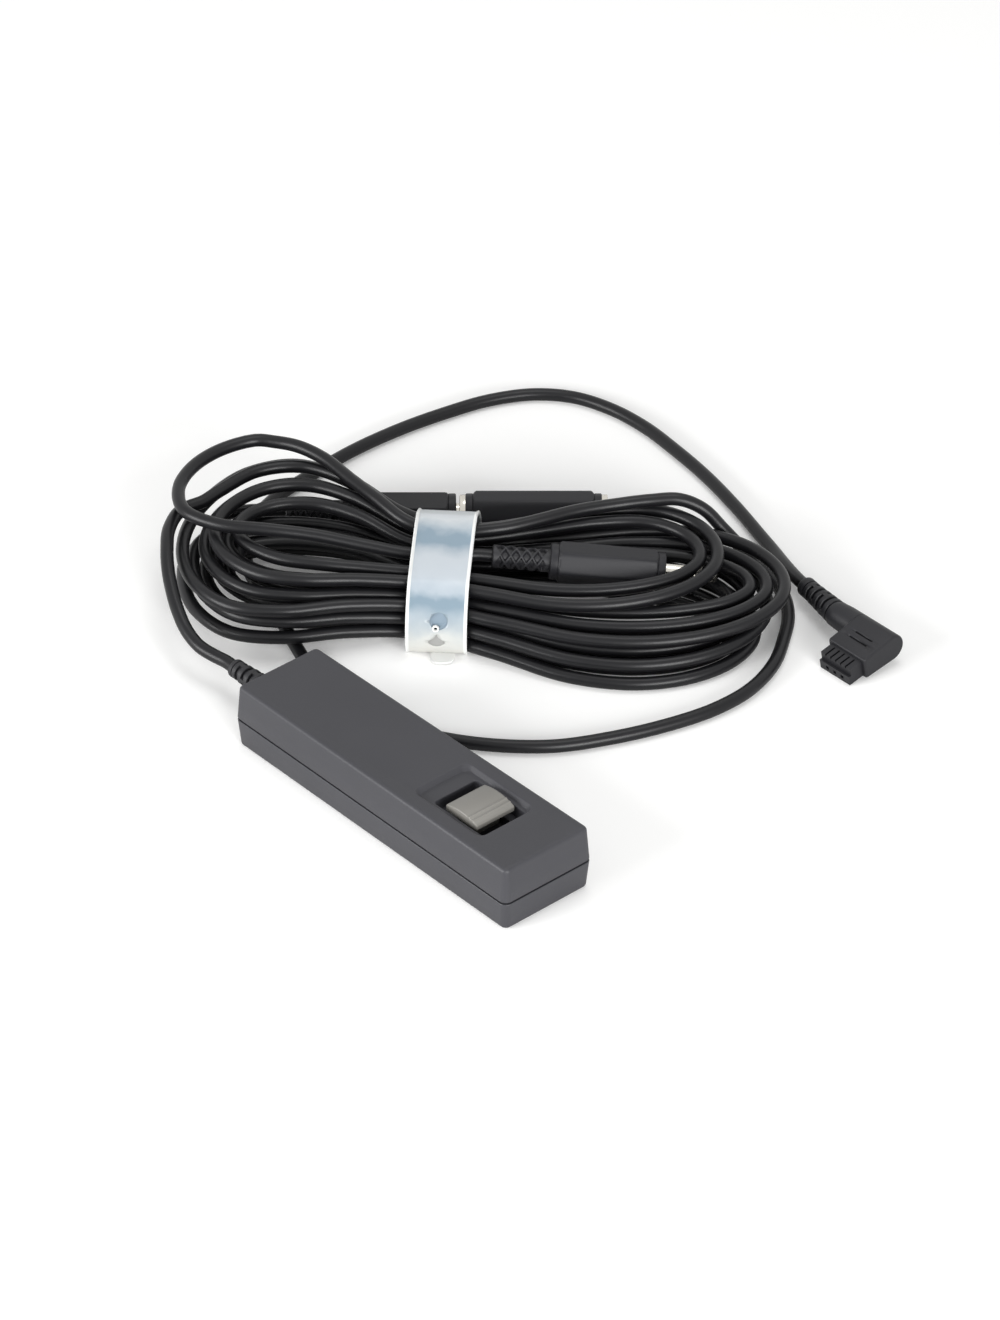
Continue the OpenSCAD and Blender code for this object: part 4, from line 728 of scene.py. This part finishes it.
def metal(name, pale, deep, rough, mark_mm, relief_mm):
    """A metal with fine tool marks and faint clouds of tone."""
    material, tree = new_material(name)
    marks, clouds = grain(tree, 1 / (mark_mm * MM), 2.0), grain(tree, 260.0, 2.0)
    surface_with(tree, {"Metallic": 1.0},
                 {"Base Color": tones(tree, clouds, ((0.35, deep), (0.7, pale))),
                  "Roughness": between(tree, marks, *rough), "Normal": bumps(tree, marks, 0.3, relief_mm)})
    return material


# Bright nickel on turned brass: warm white, with tool marks 0.1 mm apart that
# blur the mirror a little.
nickel = metal("bright_nickel_plate", "#dcd9d1", "#c9c5bb", (0.14, 0.26), 0.1, 0.002)
SEATED_ROLL = math.radians(20)
# Material and slot of a plug's six pieces, in the order that they are made in
PLUG_FINISHES = {"relief": (relief_tpe, "relief_rubber"), "body": (plug_abs, "plug_plastic"),
                 "sleeve": (nickel, "nickel"), "insulators": (plug_abs, "plug_plastic"),
                 "ring": (nickel, "nickel"), "tip": (nickel, "nickel")}
plugs = {}
for name, at, axis, first in (("seated_plug", SEATED_AT, seated_axis, SEATED_ROLL),
                              ("free_plug", FREE_AT, free_axis, 0.0)):
    plugs[name] = plug_parts(name + "_turned", at, axis, first)
    for piece, (part, (material, slot)) in zip(plugs[name], PLUG_FINISHES.items()):
        mount(piece, material, "root", slot, f"{name}_{part}")

# --------------------------------------------
# The coupler. A longer black ABS hexagon with the same turned collars and a
# bright flange round the socket at each end; the far socket stands open.
# --------------------------------------------
COUPLER_FROM, COUPLER_TO = 44.5, 82.5
SOCKET_R, SOCKET_DEEP, FLANGE_R, FLANGE_T = 2.25, 15.6, 4.3, 1.5
# How far in from a mouth, and how wide: out of the socket, then over the collar
from_mouth = [(SOCKET_DEEP, SOCKET_R), (FLANGE_T, SOCKET_R)]
from_mouth += [(FLANGE_T + s, r) for s, r in (
    (0.0, 4.3), (0.12, 4.52), (0.35, 4.6), (1.8, 4.6), (1.9, 4.45),
    (1.95, hexed(4.5)), (2.35, hexed(5.0)), (2.75, hexed(HEX_EDGE)))]
coupler_stops = [(COUPLER_FROM + s, r) for s, r in from_mouth]
coupler_stops += [(COUPLER_TO - s, r) for s, r in reversed(from_mouth)]
coupler = loft("coupler_hexagon", turned(SEATED_AT, seated_axis, coupler_stops, 96))
mount(coupler, plug_abs, "root", "plug_plastic", "coupler_body")
flange_stops = [(0.0, 2.6), (0.0, FLANGE_R - 0.2), (0.08, FLANGE_R - 0.06), (0.2, FLANGE_R),
                (FLANGE_T, FLANGE_R), (FLANGE_T, 2.45), (0.15, 2.45)]
mouths = []
for mouth, inwards in ((COUPLER_FROM, 1), (COUPLER_TO, -1)):
    stops = [(mouth + inwards * s, r) for s, r in flange_stops[::inwards]]
    mouths.append(loft("mouth", turned(SEATED_AT, seated_axis, stops, 96), joined=True))
coupler_mouths = fuse("coupler_mouth_flanges", mouths)
mount(coupler_mouths, nickel, "root", "nickel", "coupler_flanges")

# --------------------------------------------
# The camera plug. One black moulding round the cord: a ribbed relief, a round
# barrel, and a flat block that leaves it sideways with the keyed nose, whose
# three holes hold the contacts.
# --------------------------------------------
PLUG_ROLL = math.radians(11)
BARREL_R, BLOCK_REACH, BLOCK_HALF = 3.6, 9.8, 3.1
BLOCK_FROM, BLOCK_TO, BOOT_L = 7.0, 19.6, 16.0
MARK_L, MARK_W, MARK_DEEP = 6.2, 0.6, 0.5
BARREL_AT = CAMERA_AT + camera_axis * BOOT_L
MARK_X, MARK_Y, MARK_PITCH = 10.2, -6.1, 2.0
BLOCK_CORNER, BLOCK_CORNER_STEPS, PLUG_AROUND = 0.5, 4, 64


def barrel_ring(x, radius):
    return [Vector((x, radius * math.cos(a), radius * math.sin(a)))
            for a in (math.tau * k / PLUG_AROUND - math.pi / 2 for k in range(PLUG_AROUND))]


def block_ring(x, inset):
    """The barrel's outer half and the block's three sides as one outline."""
    r, flat, reach = BARREL_R - inset, BLOCK_HALF - inset, BLOCK_REACH - inset
    half, straight = PLUG_AROUND // 2, PLUG_AROUND // 4 - BLOCK_CORNER_STEPS - 1
    outer = [(r * math.cos(a), r * math.sin(a))
             for a in (math.pi * k / half - math.pi / 2 for k in range(half + 1))]
    top = [((BLOCK_CORNER - reach) * share, r + (flat - r) * share)
           for share in (i / straight for i in range(1, straight + 1))]
    top += [(below - reach, flat - gone) for gone, below in quarter(BLOCK_CORNER, BLOCK_CORNER_STEPS)[1:]]
    outline = [*outer, *top, (-reach, 0.0), *[(y, -z) for y, z in reversed(top)]]
    return [Vector((x, y, z)) for y, z in outline]


def on_barrel(ring):
    spin = Matrix.Rotation(PLUG_ROLL, 3, "X")
    return [BARREL_AT + spin @ p for p in ring]


elbow = [(14.9, 2.6), (15.0, 3.25), (15.3, 3.38)]
shapes = turned(CAMERA_AT, camera_axis, elbow, PLUG_AROUND, PLUG_ROLL - math.pi / 2)
shapes += [on_barrel(barrel_ring(x, r)) for x, r in
           ((0.55, 3.44), (1.4, 3.5), (3.0, BARREL_R), (BLOCK_FROM - 0.12, BARREL_R))]
shapes += [on_barrel(block_ring(x, inset)) for x, inset in
           ((BLOCK_FROM, 0.12), (BLOCK_FROM + 0.12, 0.0), (BLOCK_TO - 0.55, 0.0), (BLOCK_TO - 0.3, 0.06),
            (BLOCK_TO - 0.1, 0.22), (BLOCK_TO, 0.5), (BLOCK_TO, 0.8))]
block = loft("camera_plug_moulding", shapes)
marks = []
for i in range(2):
    y = MARK_Y + MARK_PITCH * i
    corners = [(MARK_X, y), (MARK_X + MARK_L, y), (MARK_X + MARK_L, y + MARK_W), (MARK_X, y + MARK_W)]
    marks.append(loft("mark", [on_barrel([Vector((*corner, z)) for corner in corners])
                               for z in (BLOCK_HALF + 0.1 - MARK_DEEP, BLOCK_HALF + 1)]))
cut_out(block, marks)
camera_boot = put(ribbed_boot("camera_boot", BOOT_L - 0.6, 5.2, 6.7, 5, 2.6, plug_abs),
                  CAMERA_AT, CAMERA_TURN, -CAMERA_RISE)
camera_plug = fuse("camera_plug_with_relief", [block, camera_boot])
mount(camera_plug, plug_abs, "root", "plug_plastic", "camera_plug_body")
dress(plug_abs, "camera_plug_nose")

# --------------------------------------------
# The switch inside the handset. Three phosphor bronze leaves in a stack of
# laminated board, held by two rivets and wired to the cord; in the same metal,
# the clips in the coupler and the contacts in the camera plug.
# --------------------------------------------
# Rolled strip: warm and half matt, with the fine marks of the rolls.
leaf_bronze = metal("rolled_phosphor_bronze", "#b98f55", "#a67c42", (0.28, 0.42), 0.15, 0.002)
dress(leaf_bronze, "common_leaf", "half_leaf", "full_leaf", "coupler_clips", "camera_plug_contacts")
dress(nickel, "shell_screws", "contact_rivets")

# Phenolic paper laminate: brown, with its plies 0.25 mm thick seen on the cut
# edges.
ply_board, tree = new_material("phenolic_paper_laminate")
place = add(tree, "ShaderNodeTexCoord").outputs["Object"]
plies = add(tree, "ShaderNodeTexWave", {"bands_direction": "Z", "Scale": 640.0, "Distortion": 1.5,
                                        "Detail": 2.0}, {"Vector": place})
surface_with(tree, {"Roughness": 0.5, "IOR": 1.5},
             {"Base Color": tones(tree, plies.outputs["Fac"], ((0.0, "#7a4c2b"), (1.0, "#8f6038")))})
dress(ply_board, "contact_block", "contact_insulators")

# Thin PVC of hook-up wire: red and smooth, with a faint grain.
wire_pvc = moulded("red_pvc_hook_up_wire", "#a63d33", "#963529", 0.4, (0.34, 0.44), 0.003)
dress(wire_pvc, "inner_wires")
dress(cord_pvc, "sheath_end")

# --------------------------------------------
# The strap. A band of milky polypropylene drawn round the hank, with a bead on
# both edges, an oval eye, a button's hollow stem in a round hole, a lens-shaped
# thin spot and, at its foot, a tab.
# --------------------------------------------
STRAP_TURN = math.radians(44)
STRAP_W, STRAP_T, BEAD_W, BEAD_H = 15.4, 0.6, 0.85, 0.35
STRAP_GAP = CORD_D / 2 + 0.3
STRAP_LOW = BEAD_H + STRAP_T + STRAP_GAP
STRAP_REACH = 26.0
# A high ROUNDING pulls the band straight between cords, a low one bows it out
ROUNDING, RING_STEPS, FOOT_DEGREES = 22, 240, 220
EYE_X, EYE_Z, STEM_X, STEM_Z, LENS_X, LENS_Z = 0.6, 10.6, -0.1, 8.9, 0.1, 5.1
TAB_X, TAB_W, TAB_ROUND, TAB_OUT = 1.6, 6.0, 2.4, 2.6
# Tones along the band in mm round it from its front foot: cream where its ends
# overlap, then painted shade of the cords under it, seen through the band, in
# turn close behind it and farther away.
PAINTED_SHOW_THROUGH = ((0, "#e6e5df"), (5, "#dcdedb"), (8, "#c0c8cc"), (11, "#a7b4bd"), (14, "#899dab"),
                (15.5, "#8a9eac"), (17.5, "#b6c1ca"), (21, "#c9d1d8"), (28, "#cdd4da"), (31, "#bdc7cf"),
                (34, "#90a5b4"), (37, "#93a8b7"), (40, "#c7d1d8"), (43, "#e4e9ec"), (60, "#ced6dc"),
                (96, "#d4dade"))
CHART_L, SWAY = 100.0, 0.07
# Natural polypropylene 0.6 mm thick, with the black cords under it painted on
# as a cool grey, painted shade for the cords seen through it; the thicker beads
# stay nearly white.
strap_pp, tree = new_material("milky_polypropylene")
chart_place = add(tree, "ShaderNodeTexCoord").outputs["UV"]
round_band = add(tree, "ShaderNodeSeparateXYZ", links={0: chart_place}).outputs["X"]
flow = grain(tree, 150.0, 3.0)
sway = add(tree, "ShaderNodeMath", {"operation": "MULTIPLY_ADD", 1: SWAY, 2: -SWAY / 2}, {0: flow})
along_band = add(tree, "ShaderNodeMath", {"operation": "ADD"}, {0: round_band, 1: sway.outputs[0]})
# Painted shade of the cords seen through the band, picked along its chart
painted_show_through_tone = tones(tree, along_band.outputs[0], [(at / CHART_L, hex_code) for at, hex_code in PAINTED_SHOW_THROUGH])
surface_with(tree, {"IOR": 1.49, "Transmission Weight": 0.3},
             {"Base Color": painted_show_through_tone, "Roughness": between(tree, flow, 0.28, 0.4)})


def plain_pp(name, tone, clear, rough):
    """Polypropylene of one tone, as clear as its thickness leaves it."""
    material, tree = new_material(name)
    surface_with(tree, {"Base Color": colour(tone), "IOR": 1.49, "Transmission Weight": clear,
                        "Roughness": rough})
    return material


bead_pp = plain_pp("thick_milky_polypropylene", "#f1f2f0", 0.2, 0.38)
# The thin eye's cool grey is painted shade of the cord under the film.
eye_pp = plain_pp("polypropylene_film_over_a_cord", "#8fa1b0", 0.35, 0.35)
lens_pp = plain_pp("polypropylene_film", "#b3b3b1", 0.35, 0.35)


def in_strap(p):
    c, s = math.cos(STRAP_TURN), math.sin(STRAP_TURN)
    return Vector(((p.x - HANK_X) * c + (p.y - HANK_Y) * s, (p.y - HANK_Y) * c - (p.x - HANK_X) * s, p.z))


def from_strap(x, y, z):
    c, s = math.cos(STRAP_TURN), math.sin(STRAP_TURN)
    return Vector((HANK_X + x * c - y * s, HANK_Y + x * s + y * c, z))


held = []
for route in (hank, short_route):
    for p, q in zip(route, route[1:]):
        a, b = in_strap(p), in_strap(q)
        for x in (-STRAP_W / 2, 0.0, STRAP_W / 2):
            if (a.x - x) * (b.x - x) < 0:
                at = a.lerp(b, (x - a.x) / (b.x - a.x))
                if abs(at.y) < STRAP_REACH:
                    held.append((at.y, max(at.z, STRAP_LOW)))


def strap_ring(x, out):
    """The stiff band round every cord in it, bowed between them, grown by out, at x."""
    mid_y, mid_z = (sum(c[i] for c in (min(held), max(held))) / 2 for i in (0, 1))
    low, high = (pick(z for y, z in held) for pick in (min, max))
    ring = []
    for k in range(RING_STEPS):
        a = math.tau * k / RING_STEPS
        ny, nz = math.cos(a), math.sin(a)
        pulls = [max(0.0, (y - mid_y) * ny + (z - mid_z) * nz) for y, z in held]
        reach = sum(pull ** ROUNDING for pull in pulls) ** (1 / ROUNDING)
        shares = [(pull / reach) ** (ROUNDING - 1) for pull in pulls]
        y = mid_y + sum(share * (c[0] - mid_y) for share, c in zip(shares, held))
        z = mid_z + sum(share * (c[1] - mid_z) for share, c in zip(shares, held))
        off = STRAP_GAP + out
        ring.append(from_strap(x, y + off * ny, min(max(z, low), high) + off * nz))
    return ring


bead = STRAP_T + BEAD_H
edge = STRAP_W / 2
across_band = [(-edge, 0.3), (-edge + 0.02, bead - 0.16), (-edge + 0.14, bead - 0.03), (-edge + 0.3, bead),
               (-edge + 0.45, bead - 0.07), (-edge + 0.6, bead - 0.22), (-edge + 0.72, STRAP_T + 0.04),
               (-edge + BEAD_W, STRAP_T)]
inner_band = [(x, STRAP_T) for x in (-4.8, -3.2, -1.6, 0.0, 1.6, 3.2, 4.8)]
stations = [*across_band, *inner_band, *[(-x, out) for x, out in reversed(across_band)],
            (edge - 0.02, 0.1), (edge - 0.15, 0.0), (-edge + 0.15, 0.0), (-edge + 0.02, 0.1)]
band = loft("polypropylene_strap", [strap_ring(x, out) for x, out in stations], joined=True)
walk = strap_ring(0, STRAP_T)
front = sorted((in_strap(p).z, in_strap(p).y) for p in walk if in_strap(p).y < min(held)[0])


def front_at(z):
    """How far out the strap's front face lies at height z."""
    (z0, y0), (z1, y1) = next(pair for pair in zip(front, front[1:]) if pair[1][0] >= z)
    return y0 + (y1 - y0) * (z - z0) / (z1 - z0)


def face_cutter(name, outline, deep, material):
    """A cutter that goes into the strap's front face from outside."""
    piece = loft(name, [[from_strap(x, front_at(z) + d, z) for x, z in outline] for d in (deep, -1.5)])
    piece.data.materials.append(material)
    return piece


def oval(x, z, wide, high, steps=32):
    return [(x + wide / 2 * math.cos(math.tau * k / steps), z + high / 2 * math.sin(math.tau * k / steps))
            for k in range(steps)]


lens = [(0.0, 2.3), (0.35, 1.6), (1.0, 0.9), (1.9, 0.3), (2.15, -0.1), (1.8, -0.6), (1.0, -1.1), (0.0, -1.3)]
lens += [(-x, z) for x, z in reversed(lens[1:-1])]
band.data.materials.append(strap_pp)
band.data.materials.append(bead_pp)
# The chart gives each point of the band its way round from the front foot
reached = [0.0]
for p, q in zip(walk, walk[1:]):
    reached.append(reached[-1] + (q - p).length)
foot = reached[round(RING_STEPS * FOOT_DEGREES / 360)]
chart = band.data.uv_layers.new(name="round_band")
for face in band.data.polygons:
    face.material_index = int(abs(in_strap(face.center / MM).x) > edge - BEAD_W - 0.1)
    for corner in face.loop_indices:
        vertex = band.data.loops[corner].vertex_index
        from_foot = foot - reached[vertex % RING_STEPS]
        if from_foot < 0:
            from_foot = min(-from_foot, PAINTED_SHOW_THROUGH[-1][0])
        across = in_strap(band.data.vertices[vertex].co / MM).x / STRAP_W + 0.5
        chart.data[corner].uv = (from_foot / CHART_L, across)
# The eye for the button and the lens below it are moulded thin; the hole for
# the button's stem goes right through between them.
cut_out(band, [face_cutter("eye", oval(EYE_X, EYE_Z, 4.5, 4.0), 0.35, eye_pp),
               face_cutter("lens", [(LENS_X + x, LENS_Z + z) for x, z in reversed(lens)], 0.3, lens_pp),
               face_cutter("pin_hole", oval(STEM_X, STEM_Z, 1.0, 1.0), 2.0, eye_pp)])
outward = from_strap(0, -1, 0) - from_strap(0, 0, 0)
stem_at = from_strap(STEM_X, front_at(STEM_Z), STEM_Z)
stem_stops = ((-0.3, 0.48), (-0.3, 0.9), (0.2, 0.88), (0.3, 0.8), (0.32, 0.62), (0.25, 0.5))
stem_ring = loft("stem_ring", turned(stem_at, outward, stem_stops, 32), joined=True)
tab_left, tab_root, tab_tip = TAB_X - TAB_W / 2, front_at(1.0) + 0.8, min(y for z, y in front) - TAB_OUT
tab_points = [(tab_left, tab_root), (tab_left, tab_tip + TAB_ROUND)]
tab_points += [(tab_left + gone, tab_tip + below) for gone, below in quarter(TAB_ROUND, 8)[1:]]
tab_points += [(2 * TAB_X - x, y) for x, y in reversed(tab_points)]
tab = loft("tab", [[from_strap(x, y, z) for x, y in tab_points] for z in (0.35, 0.95)])
bead_slot = [finish.name for finish in band.data.materials].index(bead_pp.name)
shape = bmesh.new()
shape.from_mesh(band.data)
for part in (stem_ring, tab):
    first = len(shape.faces)
    shape.from_mesh(part.data)
    shape.faces.ensure_lookup_table()
    for face in shape.faces[first:]:
        face.material_index = bead_slot
    bpy.data.objects.remove(part)
shape.to_mesh(band.data)
shape.free()
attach(band, "root")
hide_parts("hank_strap")

# Every piece on the two cords is made by now; here the lengths of the two cords are worked out in metres
route_length(long_route) * MM
route_length(short_route) * MM
